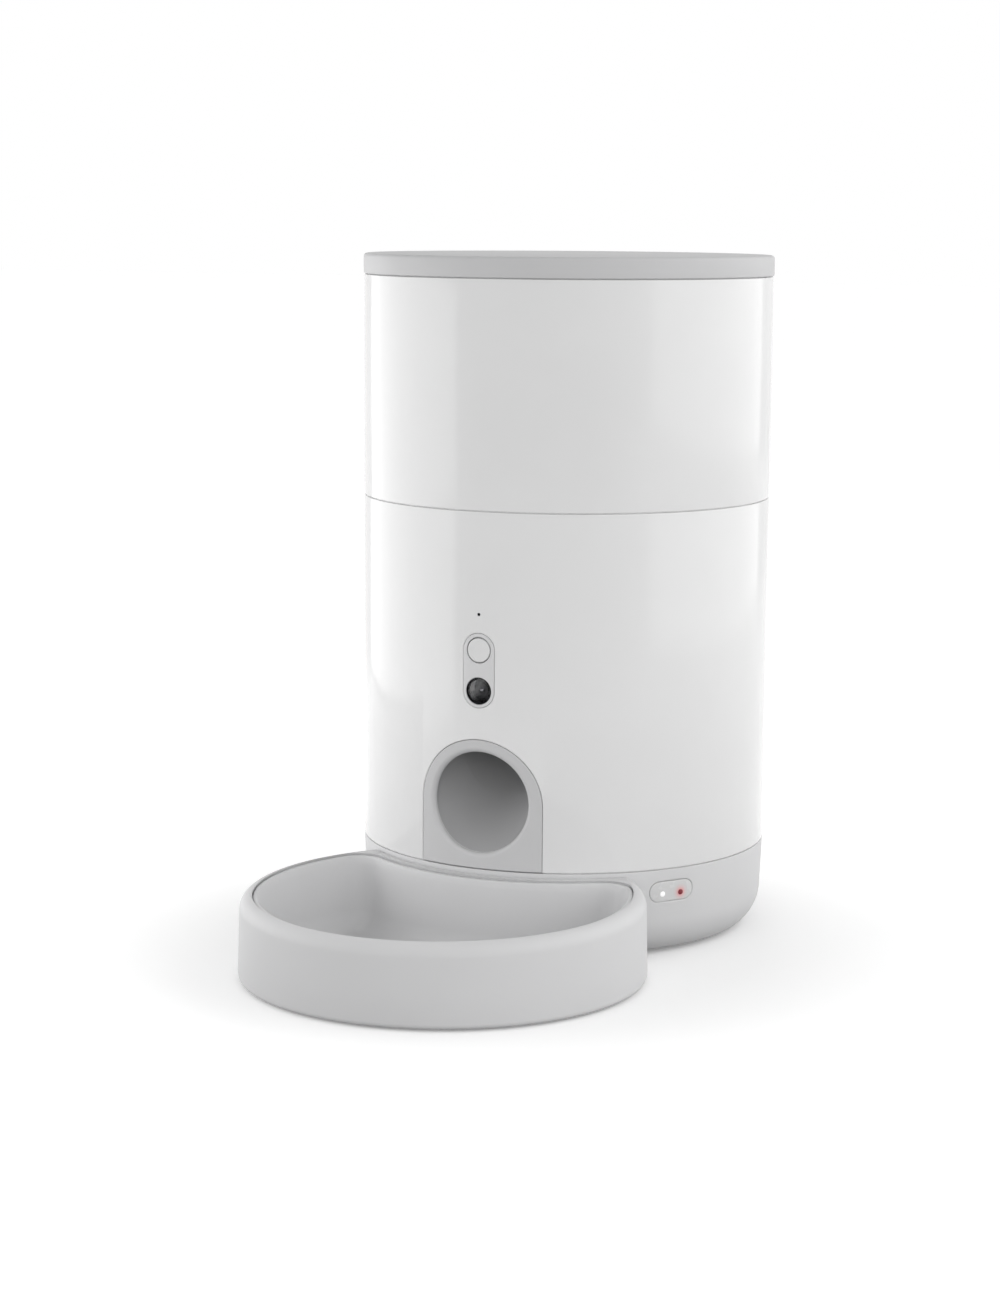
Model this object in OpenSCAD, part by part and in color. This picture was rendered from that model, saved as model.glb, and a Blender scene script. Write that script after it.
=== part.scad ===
// Automatic pet feeder with a camera: a round hopper on a body with a gear-motor
// dispenser, a slanting chute, a battery base and a bowl that docks on its front.
// Millimetres, +Z up, front towards -Y. Every piece is drawn about the body's axis
// and then moved, so that the origin is under the middle of the whole footprint.

/* [Body] */
// Outside diameter of the hopper and of the body below it
body_d = 196; // [190:1:206]
// Wall thickness of the moulded shells
wall = 2.5; // [2:0.1:3]
// Height of the visible parting lines
seam = 0.5; // [0.3:0.1:0.8]
// Depth of the visible parting lines
seam_depth = 1.2; // [0.8:0.1:1.4]
// Clearance between pieces that are fixed to each other
fit = 0.15; // [0.1:0.05:0.25]
// Clearance between pieces that move past each other
slip = 0.4; // [0.3:0.05:0.6]

/* [Heights above the floor] */
// Underside of the base
base_bottom = 2; // [1.5:0.5:4]
// Top of the base, where the body stands
base_top = 42; // [42:0.5:46]
// Parting line between the body and the hopper
hopper_seam = 208.6; // [206:0.2:220]
// Rim of the hopper, where the lid sits
hopper_top = 314; // [290:1:340]
// Height of the lid above the rim
lid_h = 10; // [8:0.5:14]

/* [Lid] */
// How far the lid stands out past the hopper
lid_overhang = 0.4; // [0.2:0.1:1.5]
// Rounding of the lid's top edge
lid_round = 2; // [1:0.25:4]
// Depth of the plug below the rim
plug_h = 11; // [9:0.5:16]
// Outside radius of the desiccant box
desiccant_r = 30; // [24:1:36]
// Depth of the desiccant box below the lid's top
desiccant_h = 13; // [11:0.5:18]
// Number of ribs under the lid
lid_ribs = 10; // [6:1:14]

/* [Base] */
// Rounding of the base's bottom edge
base_round = 12; // [8:0.5:14]
// Taper of the base's side
base_draft = 1; // [0.4:0.1:1.6]
// Radius of a rubber foot
foot_r = 8; // [6:0.5:9]
// Direction of the feet from the X axis, in degrees
foot_angle = 31; // [28:1:34]
// Least gap between a foot and the battery door
foot_gap = 1.4; // [1:0.1:3]
// Direction of the indicator window from the front, in degrees
window_angle = 55.4; // [52:0.2:62]
// Width of the indicator window
window_w = 23.5; // [22:0.5:28]
// Height of the indicator window
window_h = 9.5; // [9:0.5:11]
// Height of the window's middle above the floor
window_z = 31.4; // [30:0.2:32]
// Radius of an indicator light
led_r = 1.3; // [1:0.1:1.5]
// Distance between the two indicator lights
led_pitch = 10; // [8:0.5:12]
// Height of the power inlet above the floor
inlet_z = 21; // [18:0.5:24]

/* [Outlet] */
// Diameter of the round food outlet
outlet_d = 46; // [42:0.5:48]
// Height of the outlet's middle above the floor
outlet_z = 73.4; // [73:0.2:76]
// Width of the arched panel round the outlet
arch_w = 61; // [58:0.5:64]
// Wall thickness of the chute
chute_wall = 2; // [1.6:0.1:2.4]

/* [Camera panel] */
// Width of the oblong panel
panel_w = 15.6; // [15:0.1:17]
// Height of the oblong panel
panel_h = 34.6; // [33:0.2:37]
// Height of the panel's middle above the floor
panel_z = 135.3; // [133:0.1:137]
// Diameter of the feed button
button_d = 11.2; // [10:0.1:11.4]
// Travel of the feed button
button_travel = 1; // [0.6:0.1:1.2]
// Diameter of the camera window
lens_d = 12.4; // [11:0.1:12.6]
// Height of the microphone hole above the floor
mic_z = 161.4; // [159:0.2:163]
// Diameter of the microphone hole
mic_hole_d = 1.2; // [0.8:0.1:2]

/* [Dispenser] */
// Inside radius of the dispensing chamber
chamber_r = 58; // [56:0.5:60]
// Height of the dispensing chamber
chamber_h = 26; // [24:0.5:28]
// Depth of the chamber's floor below the hopper's parting line
floor_depth = 66.6; // [64:0.2:68]
// Height of the funnel above the chamber
funnel_h = 35; // [32:0.5:36]
// Width of the ledge round the top of the chamber
ledge_w = 2.5; // [2:0.1:3]
// Radius of the port that food drops through
port_r = 20; // [18:0.5:20]
// Radius of the rotor at its vane tips
rotor_r = 55.5; // [50:0.5:55.5]
// Radius of the rotor's hub
hub_r = 15; // [14:0.5:16]
// Number of vanes on the rotor
vane_count = 6; // [5:1:8]
// Thickness of a vane
vane_t = 2.5; // [2:0.1:3]
// Radius of the journal that the rotor turns on
journal_r = 10; // [9.5:0.1:11]

/* [Drive] */
// Radius of the gearbox
gearbox_r = 18.5; // [17:0.5:19]
// Height of the gearbox
gearbox_h = 24; // [20:0.5:28]
// Offset of the output shaft from the gearbox's middle
shaft_offset = 7; // [6:0.5:8]
// Radius of the output shaft
shaft_r = 3; // [2.5:0.1:3.5]
// Radius of the motor
motor_r = 16; // [13:0.5:17]
// Length of the motor
motor_h = 34; // [28:0.5:38]

/* [Batteries] */
// Diameter of a cell
cell_d = 34.2; // [33:0.1:34.2]
// Length of a cell
cell_l = 61.5; // [58:0.5:62]
// Number of cells side by side
cell_count = 3; // [2:1:3]

/* [Bowl] */
// Outside radius of the bowl at the floor
bowl_r = 93; // [90:0.5:96]
// Distance from the body's axis to the bowl's middle
bowl_offset = 133.5; // [130:0.5:138]
// Height of the bowl's rim above the floor
bowl_h = 38; // [35:0.5:40]
// Width of the rim from the outside to the inner edge
rim_w = 6.5; // [5:0.25:8]
// Width of the rim along the base
back_rim_w = 4; // [3:0.25:6]
// Rounding of the inside corners
bowl_corner_r = 18; // [17.5:0.5:20]

/* [Hidden] */
$fn = 96;
tiny = 0.01;

// Body and hopper
body_r = body_d / 2;
body_in = body_r - wall;
cut_near = body_in - 20;
cut_far = body_r + 3;
spigot_r = body_in - slip;
spigot_in = spigot_r - wall;
lid_r = body_r + lid_overhang;
lid_top = hopper_top + lid_h;
plug_r = body_in - slip;
lid_rib_t = 1.6;
lid_rib_h = 4;
seal_depth = 1.3;

// Dispenser heights and radii
floor_top = hopper_seam - floor_depth;
floor_plug_h = 3;
floor_flange_h = 3;
flange_r = chamber_r + 8;
ledge_z = floor_top + chamber_h;
funnel_r = chamber_r + ledge_w;
funnel_top = ledge_z + funnel_h;
funnel_run = spigot_in - funnel_r;
funnel_slope = funnel_h / funnel_run;
funnel_drop = wall * sqrt(1 + funnel_slope * funnel_slope);
chamber_out = chamber_r + wall;
floor_bottom = floor_top - floor_plug_h - floor_flange_h;
port_y = chamber_r - port_r - 0.5;

// Deck, chute and drive
deck_t = 3;
deck_top = floor_bottom - 9;
deck_bottom = deck_top - deck_t;
deck_r = body_in - 2 * slip;
deck_screw_l = deck_t + 7;
deck_collar_h = 2;
chute_top = floor_bottom - slip;
elbow_z = deck_top + 1;
chute_r = norm([port_r + 1.2, chute_top - elbow_z]);
chute_out = chute_r + chute_wall;
outlet_r = outlet_d / 2;
chute_front = body_in - wall - slip;
chute_run = body_in - port_y;
chute_fall = elbow_z - (outlet_z - outlet_r);
chute_tilt = acos(chute_r / norm([chute_run, chute_fall])) - atan2(chute_run, chute_fall);
chute_roof = outlet_z + outlet_r + 10;
mouth_collar = 3;
sensor_r = 2.5;
sensor_l = 5;
sensor_along = 42;
arch_z = outlet_z - 1;
boss_top = deck_bottom;
gearbox_top = deck_bottom;
gearbox_bottom = gearbox_top - gearbox_h;
motor_bottom = gearbox_bottom - motor_h;
gearbox_boss_r = 6;
gearbox_boss_h = 4.5;
coupler_r = 8.5;
coupler_bottom = deck_top + 3;
coupler_top = floor_bottom - 0.6;
dog_w = 3;
dog_l = 14;
dog_top = floor_top + 4;
rotor_bottom = floor_top + slip;
rotor_top = ledge_z - 2.5;
run_gap = 0.08;
baffle_t = 2.2;
baffle_half_angle = 36;
vane_key = 3;
vane_tip = 4;
hub_cone_h = 8;

// Screw bosses, shared by the base, the body and the deck
boss_r = 5;
boss_ring = body_r - 19.5;
boss_angles = [58, 122, 238, 302];
screw_r = 1.5;
head_r = 3.2;
head_h = 2;
base_lip_h = 4;
base_lip_t = 2;
boss_split = base_top + base_lip_h + 0.3;

// Base
base_flat_r = body_r - base_draft - base_round;
base_floor = base_bottom + wall;
foot_sink = 1.5;
inlet_w = 11.6;
inlet_h = 6;
inlet_depth = 11;
inlet_back_t = 2;
socket_w = 9;
socket_h = 3.2;
tongue_w = 6.6;
tongue_t = 0.7;
led_z = window_z - 1.1;
led_board_y = body_r - 10;
led_board_h = 9;
led_post_r = 2;
led_post_x = window_w / 2 + 5;
led_post_end = sqrt(pow(body_in, 2) - pow(led_post_x - led_post_r, 2)) + 0.3;
board_t = 1.6;

// Batteries
cell_pitch = cell_d + 0.6;
contact_l = 6;
bay_w = cell_count * cell_pitch + 1.2;
bay_l = cell_l + 2 * contact_l;
bay_y = 7;
bay_wall = 1.5;
bay_top = 30;
door_lip = 1.5;
door_t = 1.25;
cell_z = base_floor + 0.5 + cell_d / 2;

// Feet on a ring inside the base's rounding, beside the battery door
foot_ring = base_flat_r - foot_r - 2.6;
foot_x = max(foot_ring * cos(foot_angle), bay_w / 2 + door_lip + foot_gap + foot_r);
foot_y = sqrt(foot_ring * foot_ring - foot_x * foot_x);

// Camera panel
panel_r = panel_w / 2;
button_r = button_d / 2;
lens_r = lens_d / 2;
button_z = panel_z + panel_h / 2 - panel_r;
lens_z = panel_z - panel_h / 2 + panel_r;
panel_in = body_in - fit;
camera_board_y = body_in - 9.5;
camera_board_w = 27;
camera_board_low = lens_z - 15;
camera_board_high = mic_z + 5;
camera_post_x = 10.5;
camera_post_inset = 3.5;
button_flange_y = panel_in - 1.15;
stem_end_y = button_flange_y - 3.2;
switch_tip_y = stem_end_y - button_travel - 0.2;

// Speaker and main board, at the back
speaker_r = 17;
speaker_z = 150;
speaker_h = 13;
speaker_rim = 2;
speaker_face = body_in - 5;
speaker_flange = 4;
speaker_magnet_r = 10.5;
grille_hole_r = 1;
grille_pitch = 5.5;
main_board_y = body_in - 15;
main_board_w = 70;
main_board_low = 56;
main_board_high = 114;
board_post_x = 28;
board_post_inset = 6;
board_post_r = 3;
board_post_end = sqrt(pow(body_in, 2) - pow(board_post_x - board_post_r, 2)) + 0.3;

// Bowl: the rim line is one outline of four arcs, and each level inside it is that
// outline moved in by the same distance
bowl_bottom = 0.8;
bowl_foot_r = 6;
bowl_draft = 0.7;
bowl_edge_r = 2.5;
rim_r = bowl_r - rim_w;
back_r = body_r + slip;
back_rim_r = back_r + back_rim_w;
rim_chamfer = 1.5;
bowl_floor = 4;
floor_fillet = 10;
wall_lean = 3.5;
corner_from_bowl = rim_r - bowl_corner_r;
corner_from_axis = back_rim_r + bowl_corner_r;
corner_y = (corner_from_axis * corner_from_axis - corner_from_bowl * corner_from_bowl
    + bowl_offset * bowl_offset) / (2 * bowl_offset);
corner_x = sqrt(corner_from_axis * corner_from_axis - corner_y * corner_y);
side_angle = atan2(bowl_offset - corner_y, corner_x);
back_angle = atan2(corner_y, corner_x);
tab_w = 15;
tab_h = 4;
tab_x = 22;
tab_z = 18;
tab_l = 6;

// The whole part is moved so that its footprint is centred on the origin
axis_y = (bowl_offset + bowl_r - lid_r) / 2;

// Shared shapes

// A tube about the axis between two heights
module tube(r_out, r_in, low, high) {
    translate([0, 0, low]) difference() {
        cylinder(r = r_out, h = high - low);
        translate([0, 0, -1]) cylinder(r = r_in, h = high - low + 2);
    }
}

// An outline in x and z, extruded towards the front between two distances from the axis
module toward_front(near, far) {
    translate([0, -near, 0]) rotate([90, 0, 0]) linear_extrude(far - near) children();
}

// A round bar towards the front, at a place in x and z
module front_bar(x, z, r, near, far) {
    translate([x, -near, z]) rotate([90, 0, 0]) cylinder(r = r, h = far - near);
}

// An upright oblong with round ends, centred on the origin
module oblong(w, h) {
    square([w, h - w], center = true);
    for (s = [-1, 1]) translate([0, s * (h - w) / 2]) circle(d = w);
}

// An arch with upright sides, from a height up round a centre
module arch(w, low, centre) {
    translate([-w / 2, low]) square([w, centre - low]);
    translate([0, centre]) circle(d = w);
}

// Copies at the four screw bosses
module at_bosses() {
    for (a = boss_angles) rotate([0, 0, a]) translate([boss_ring, 0, 0]) children();
}

// A pan-head screw, head up, seated at the origin
module screw(length) {
    cylinder(r = head_r, h = head_h);
    translate([0, 0, -length]) cylinder(r = screw_r - 0.1, h = length + tiny);
}

// Lid

module lid_section() {
    polygon([[0, lid_top - wall], [plug_r - wall, lid_top - wall], [plug_r - wall, hopper_top - plug_h],
        [plug_r, hopper_top - plug_h], [plug_r, hopper_top], [body_r - seam_depth, hopper_top],
        [body_r - seam_depth, hopper_top + seam], [lid_r, hopper_top + seam],
        [lid_r, lid_top - lid_round], [lid_r - lid_round, lid_top - lid_round],
        [lid_r - lid_round, lid_top], [0, lid_top]]);
    translate([lid_r - lid_round, lid_top - lid_round]) circle(r = lid_round);
}

module lid_cover() {
    color("lightgray") {
        difference() {
            rotate_extrude() lid_section();
            lid_seal_groove();
        }
        tube(desiccant_r + 3, desiccant_r + fit, lid_top - desiccant_h + 3, lid_top - wall + tiny);
        stiffening_ribs();
    }
}

// Spokes under the lid, from the desiccant box's socket out to the plug
module stiffening_ribs() {
    inner = desiccant_r + 2;
    outer = plug_r - wall + 0.5;
    for (i = [0:lid_ribs - 1]) rotate([0, 0, (i + 0.5) * 360 / lid_ribs])
        translate([inner, -lid_rib_t / 2, lid_top - wall - lid_rib_h])
            cube([outer - inner, lid_rib_t, lid_rib_h + 0.5]);
}

module lid_seal_groove() {
    tube(body_in, plug_r - seal_depth, hopper_top - plug_h + 3, hopper_top - plug_h + 6);
}

module lid_seal() {
    mid = hopper_top - plug_h + 4.5;
    groove_r = plug_r - seal_depth + fit;
    color("whitesmoke") rotate_extrude() union() {
        translate([groove_r, mid - 1.3]) square([1, 2.6]);
        translate([groove_r + 0.7, mid]) circle(r = 0.65);
    }
}

module desiccant_box() {
    top = lid_top - wall - fit;
    low = lid_top - desiccant_h;
    color("white") difference() {
        rotate_extrude() polygon([[0, low], [desiccant_r + 4, low], [desiccant_r + 4, low + 2.8],
            [desiccant_r, low + 2.8], [desiccant_r, top], [desiccant_r - 1.5, top],
            [desiccant_r - 1.5, low + 1.5], [0, low + 1.5]]);
        for (i = [-3:3]) {
            slot_l = 2 * sqrt(pow(desiccant_r - 5, 2) - pow(i * 7, 2));
            translate([i * 7 - 1.25, -slot_l / 2, low - 1]) cube([2.5, slot_l, 4]);
        }
    }
}

// Hopper and dispenser

// Height of the funnel's outer side at a radius
function funnel_under(r) = ledge_z + (r - funnel_r) * funnel_slope - funnel_drop;

// Wall, spigot, funnel, chamber and flange in one moulding
module food_hopper() {
    flange_low = floor_top - floor_plug_h;
    color("white") difference() {
        rotate_extrude() polygon([[chamber_r, flange_low], [flange_r, flange_low], [flange_r, floor_top],
            [chamber_out, floor_top], [chamber_out, funnel_under(chamber_out)],
            [spigot_r, funnel_under(spigot_r)], [spigot_r, hopper_seam],
            [body_r - seam_depth, hopper_seam], [body_r - seam_depth, hopper_seam + seam],
            [body_r, hopper_seam + seam], [body_r, hopper_top], [body_in, hopper_top],
            [body_in, hopper_seam + 3 * wall], [spigot_in, hopper_seam + wall],
            [spigot_in, funnel_top], [funnel_r, ledge_z], [chamber_r, ledge_z]]);
        at_floor_screws() translate([0, 0, flange_low - 1]) cylinder(r = screw_r, h = floor_plug_h + 2);
    }
}

module at_floor_screws() {
    ring = (chamber_out + flange_r) / 2;
    for (a = [45:90:315]) rotate([0, 0, a]) translate([ring, 0, 0]) children();
}

module dispensing_floor() {
    full_h = floor_plug_h + floor_flange_h;
    color("gainsboro") translate([0, 0, floor_bottom]) difference() {
        union() {
            cylinder(r = flange_r, h = floor_flange_h);
            cylinder(r = chamber_r - fit, h = full_h);
        }
        translate([0, -port_y, -1]) cylinder(r = port_r, h = full_h + 2);
        translate([0, 0, -1]) cylinder(r = journal_r + run_gap, h = full_h + 2);
        at_floor_screws() translate([0, 0, -1]) cylinder(r = screw_r, h = floor_flange_h + 2);
    }
}

module hopper_screws() {
    color("silver") at_floor_screws() translate([0, 0, floor_bottom])
        mirror([0, 0, 1]) screw(floor_flange_h + 2.5);
}

// The plate over the port, which keeps food from falling straight through
module portion_baffle() {
    inner_r = hub_r + 2;
    outer_r = funnel_r - fit;
    color("gainsboro") rotate([0, 0, 270 - baffle_half_angle]) translate([0, 0, ledge_z])
        rotate_extrude(angle = 2 * baffle_half_angle)
            translate([inner_r, 0]) square([outer_r - inner_r, baffle_t]);
}

module rotor_hub() {
    keyway_h = dog_top + slip - floor_bottom;
    color("darkgray") difference() {
        rotate_extrude() polygon([[0, floor_bottom], [journal_r, floor_bottom], [journal_r, rotor_bottom],
            [hub_r, rotor_bottom], [hub_r, rotor_top], [4, rotor_top + hub_cone_h],
            [0, rotor_top + hub_cone_h]]);
        translate([0, 0, floor_bottom - 1]) dog_cross(dog_w + 2 * slip, dog_l + 2 * slip, keyway_h + 1);
        at_vanes() translate([hub_r - vane_key, -vane_t / 2 - fit, rotor_bottom + 1])
            cube([vane_key + 1, vane_t + 2 * fit, rotor_top - rotor_bottom]);
    }
}

module at_vanes() {
    for (i = [0:vane_count - 1]) rotate([0, 0, (i + 0.5) * 360 / vane_count]) children();
}

// Flexible paddles, each keyed into a slot of the hub and cut back at its upper tip
module rotor_vanes() {
    low = rotor_bottom + 1 + fit;
    root = hub_r - vane_key + fit;
    color("dimgray") at_vanes() translate([0, vane_t / 2, 0]) rotate([90, 0, 0]) linear_extrude(vane_t)
        polygon([[root, low], [rotor_r, low], [rotor_r, rotor_top - vane_tip],
            [rotor_r - vane_tip, rotor_top], [root, rotor_top]]);
}

module dog_cross(w, l, h) {
    for (a = [0, 90]) rotate([0, 0, a]) translate([-l / 2, -w / 2, 0]) cube([l, w, h]);
}

module drive_coupler() {
    color("ivory") difference() {
        union() {
            translate([0, 0, coupler_bottom]) cylinder(r = coupler_r, h = coupler_top - coupler_bottom);
            translate([0, 0, coupler_top - tiny]) dog_cross(dog_w, dog_l, dog_top - coupler_top + tiny);
        }
        translate([0, 0, coupler_bottom - 1]) shaft_section(shaft_r + run_gap, coupler_top - coupler_bottom);
    }
}

// A round shaft with one flat
module shaft_section(r, h) {
    difference() {
        cylinder(r = r, h = h);
        translate([-r, r - 0.5, -1]) cube([2 * r, r, h + 2]);
    }
}

module output_shaft() {
    low = gearbox_top - 12;
    color("silver") {
        translate([0, 0, low]) cylinder(r = shaft_r, h = gearbox_top + gearbox_boss_h - low);
        translate([0, 0, gearbox_top + gearbox_boss_h - tiny])
            shaft_section(shaft_r, coupler_top - 1.5 - gearbox_top - gearbox_boss_h);
    }
}

// Motor and deck

module motor_deck() {
    notch_w = 2 * chute_out + 2;
    color("whitesmoke") difference() {
        union() {
            translate([0, 0, deck_bottom]) cylinder(r = deck_r, h = deck_t);
            tube(coupler_r + 3, coupler_r + 1.5, deck_top - 1, deck_top + deck_collar_h);
        }
        translate([0, 0, deck_bottom - 1]) linear_extrude(deck_t + 2) {
            translate([0, -port_y]) circle(d = notch_w);
            translate([-notch_w / 2, -body_r]) square([notch_w, body_r - port_y]);
        }
        translate([0, 0, deck_bottom - 1]) cylinder(r = gearbox_boss_r + fit, h = deck_t + 2);
        at_bosses() translate([0, 0, deck_bottom - 1]) cylinder(r = screw_r, h = deck_t + 2);
        at_motor_screws() translate([0, 0, deck_bottom - 1]) cylinder(r = screw_r, h = deck_t + 2);
    }
}

module deck_screws() {
    color("silver") at_bosses() translate([0, 0, deck_top]) screw(deck_screw_l);
}

module at_motor_screws() {
    for (a = [30, 90, 150]) translate([0, shaft_offset, 0]) rotate([0, 0, a])
        translate([gearbox_r - 3.5, 0, 0]) children();
}

module gearbox_case() {
    color("silver") difference() {
        union() {
            translate([0, shaft_offset, gearbox_bottom]) cylinder(r = gearbox_r, h = gearbox_h);
            translate([0, 0, gearbox_top - tiny]) cylinder(r = gearbox_boss_r, h = gearbox_boss_h);
        }
        translate([0, 0, gearbox_top - 12.5]) cylinder(r = shaft_r + run_gap, h = 30);
        at_motor_screws() translate([0, 0, gearbox_top - 6]) cylinder(r = screw_r, h = 7);
    }
}

module motor_can() {
    color("gray") translate([0, shaft_offset, 0]) {
        difference() {
            translate([0, 0, motor_bottom]) cylinder(r = motor_r, h = motor_h);
            for (s = [-1, 1]) translate([s * (motor_r + 18.6), 0, motor_bottom - 1])
                cylinder(r = 20, h = motor_h - 6);
        }
        translate([0, 0, motor_bottom - 2.5]) cylinder(r = 5, h = 2.5 + tiny);
        for (s = [-1, 1]) translate([-1, s * 9 - 0.4, motor_bottom - 5]) cube([2, 0.8, 5 + tiny]);
    }
}

module motor_screws() {
    color("silver") at_motor_screws() translate([0, 0, deck_top]) screw(deck_t + 5);
}

// Body, outlet and chute

module body_section() {
    polygon([[body_in, base_top], [body_r - seam_depth, base_top], [body_r - seam_depth, base_top + seam],
        [body_r, base_top + seam], [body_r, hopper_seam], [body_in, hopper_seam]]);
}

module body_shell() {
    color("white") difference() {
        union() {
            rotate_extrude() body_section();
            at_bosses() {
                translate([0, 0, boss_split]) cylinder(r = boss_r, h = boss_top - boss_split);
                translate([boss_r - 2, -1.5, boss_split])
                    cube([body_in + 1 - boss_ring - boss_r + 2, 3, boss_top - boss_split]);
            }
            at_camera_posts() front_bar(0, 0, 2.5, camera_board_y, body_in + 0.5);
            at_board_posts() front_bar(0, 0, board_post_r, main_board_y, board_post_end);
        }
        at_bosses() translate([0, 0, boss_split - 1]) cylinder(r = screw_r, h = boss_top - boss_split + 2);
        at_camera_posts() front_bar(0, 0, 1, camera_board_y - 1, camera_board_y + 5);
        at_board_posts() front_bar(0, 0, 1, main_board_y - 1, main_board_y + 5);
        toward_front(cut_near, cut_far) arch(arch_w + 2 * fit, base_top - 1, arch_z);
        toward_front(cut_near, cut_far) translate([0, panel_z]) oblong(panel_w + 2 * fit, panel_h + 2 * fit);
        front_bar(0, mic_z, mic_hole_d / 2, cut_near, cut_far);
        rotate([0, 0, 180]) front_bar(0, speaker_z, speaker_r + fit, cut_near, cut_far);
    }
}

module at_camera_posts() {
    for (x = [-1, 1], z = [camera_board_low + camera_post_inset, camera_board_high - camera_post_inset])
        translate([x * camera_post_x, 0, z]) children();
}

module at_board_posts() {
    for (x = [-1, 1], z = [main_board_low + board_post_inset, main_board_high - board_post_inset])
        rotate([0, 0, 180]) translate([x * board_post_x, 0, z]) children();
}

module outlet_panel() {
    flange_top = arch_z + arch_w;
    color("lightgray") difference() {
        union() {
            intersection() {
                rotate_extrude() body_section();
                toward_front(cut_near, cut_far) arch(arch_w, base_top - 1, arch_z);
            }
            intersection() {
                tube(body_in - fit, body_in - wall, boss_split, flange_top);
                toward_front(cut_near, cut_far) arch(arch_w + 8, boss_split, arch_z);
            }
            intersection() {
                tube(body_in + 1, body_in - 1, boss_split, flange_top);
                toward_front(cut_near, cut_far) arch(arch_w - 2, boss_split, arch_z);
            }
        }
        front_bar(0, outlet_z, outlet_r, cut_near, cut_far);
    }
}

// A straight tube with one round end, along +Z
module capsule(r, length) {
    rotate_extrude() union() {
        square([r, length]);
        intersection() {
            circle(r = r);
            translate([0, -r]) square([r, r]);
        }
    }
}

module along_chute() {
    translate([0, -port_y, elbow_z]) rotate([90 + chute_tilt, 0, 0]) children();
}

// The space over the low roof that the slide has towards the outlet
module over_roof(step_y, roof) {
    translate([-body_r, -body_d, roof]) cube([body_d, body_d - step_y, body_d]);
}

// The collar behind the outlet's edge, which fills the corners beside the slide
module chute_collar() {
    intersection() {
        tube(chute_front, chute_front - chute_wall, base_top, chute_roof);
        front_bar(0, outlet_z, outlet_r + mouth_collar, cut_near, cut_far);
    }
}

// The slide from the port down to the outlet, under a low roof that clears the camera
module food_chute() {
    step_y = port_y + chute_r + chute_wall;
    color("lightgray") difference() {
        union() {
            intersection() {
                along_chute() capsule(chute_out, body_d);
                cylinder(r = chute_front, h = chute_top);
            }
            chute_collar();
        }
        over_roof(step_y, chute_roof);
        difference() {
            along_chute() capsule(chute_r, body_d);
            over_roof(step_y - chute_wall, chute_roof - chute_wall);
        }
        for (s = [-1, 1]) sensor(s, slip / 2);
    }
}

// A light-beam sensor on one side of the chute, which sees the food fall
module sensor(side, grow) {
    along_chute() translate([0, 0, sensor_along]) rotate([0, side * 90, 0])
        translate([0, 0, chute_r - 1.2]) cylinder(r = sensor_r + grow, h = chute_wall + sensor_l);
}

module drop_sensors() {
    color("black") for (s = [-1, 1]) difference() {
        sensor(s, 0);
        along_chute() capsule(chute_r, body_d);
    }
}

// Camera panel, behind the oblong hole in the body

module camera_panel() {
    color("lightgray") difference() {
        union() {
            intersection() {
                tube(body_r, panel_in - 0.3, panel_z - panel_h, panel_z + panel_h);
                toward_front(body_in - 5, cut_far) translate([0, panel_z]) oblong(panel_w, panel_h);
            }
            intersection() {
                tube(panel_in, panel_in - 0.6, panel_z - panel_h, panel_z + panel_h);
                toward_front(body_in - 5, cut_far) translate([0, panel_z]) oblong(panel_w + 5, panel_h + 5);
            }
        }
        front_bar(0, button_z, button_r + 0.3, body_in - 5, cut_far);
        front_bar(0, lens_z, lens_r + fit, body_in - 5, cut_far);
    }
}

module feed_button() {
    color("whitesmoke") union() {
        intersection() {
            tube(body_r, button_flange_y - 4, button_z - button_d, button_z + button_d);
            front_bar(0, button_z, button_r, button_flange_y - 0.5, cut_far);
        }
        front_bar(0, button_z, button_r + 1, button_flange_y - 1.2, button_flange_y);
        front_bar(0, button_z, 2, stem_end_y, button_flange_y - 1);
    }
}

module button_switch() {
    body_y = camera_board_y + 3.4;
    color("black") {
        translate([-3, -body_y, button_z - 3]) cube([6, body_y - camera_board_y, 6]);
        front_bar(0, button_z, 1.75, body_y - tiny, switch_tip_y);
    }
}

module camera_bezel() {
    color("black") difference() {
        intersection() {
            tube(body_r - 0.2, camera_board_y + 4, lens_z - lens_d, lens_z + lens_d);
            front_bar(0, lens_z, lens_r, camera_board_y + 5, cut_far);
        }
        front_bar(0, lens_z, lens_r - 0.8, body_r - 2.4, cut_far);
        front_bar(0, lens_z, 3.2, camera_board_y, body_r);
    }
}

// The glossy dome over the camera
module camera_lens() {
    dome_r = 14;
    rim_r = lens_r - 0.8 - fit;
    rim_y = body_r - 1.2;
    color("black") intersection() {
        translate([0, -(rim_y - sqrt(dome_r * dome_r - rim_r * rim_r)), lens_z]) sphere(r = dome_r);
        front_bar(0, lens_z, rim_r, body_r - 2.4 + fit, cut_far);
    }
}

module camera_module() {
    color("dimgray") {
        translate([-6.5, -camera_board_y - 4, lens_z - 6.5]) cube([13, 4, 13]);
        front_bar(0, lens_z, 3, camera_board_y + 4 - tiny, body_r - 4);
    }
}

module camera_board() {
    color("darkgreen") difference() {
        toward_front(camera_board_y - board_t, camera_board_y)
            translate([-camera_board_w / 2, camera_board_low])
                square([camera_board_w, camera_board_high - camera_board_low]);
        at_camera_posts() front_bar(0, 0, 1.2, camera_board_y - 3, camera_board_y + 3);
    }
}

module microphone() {
    color("black") front_bar(0, mic_z, 2.6, camera_board_y, body_in - 0.3);
}

// Main board and speaker at the back

module main_board() {
    color("darkgreen") difference() {
        rotate([0, 0, 180]) toward_front(main_board_y - board_t, main_board_y)
            translate([-main_board_w / 2, main_board_low])
                square([main_board_w, main_board_high - main_board_low]);
        at_board_posts() front_bar(0, 0, 1.2, main_board_y - 3, main_board_y + 3);
    }
}

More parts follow.
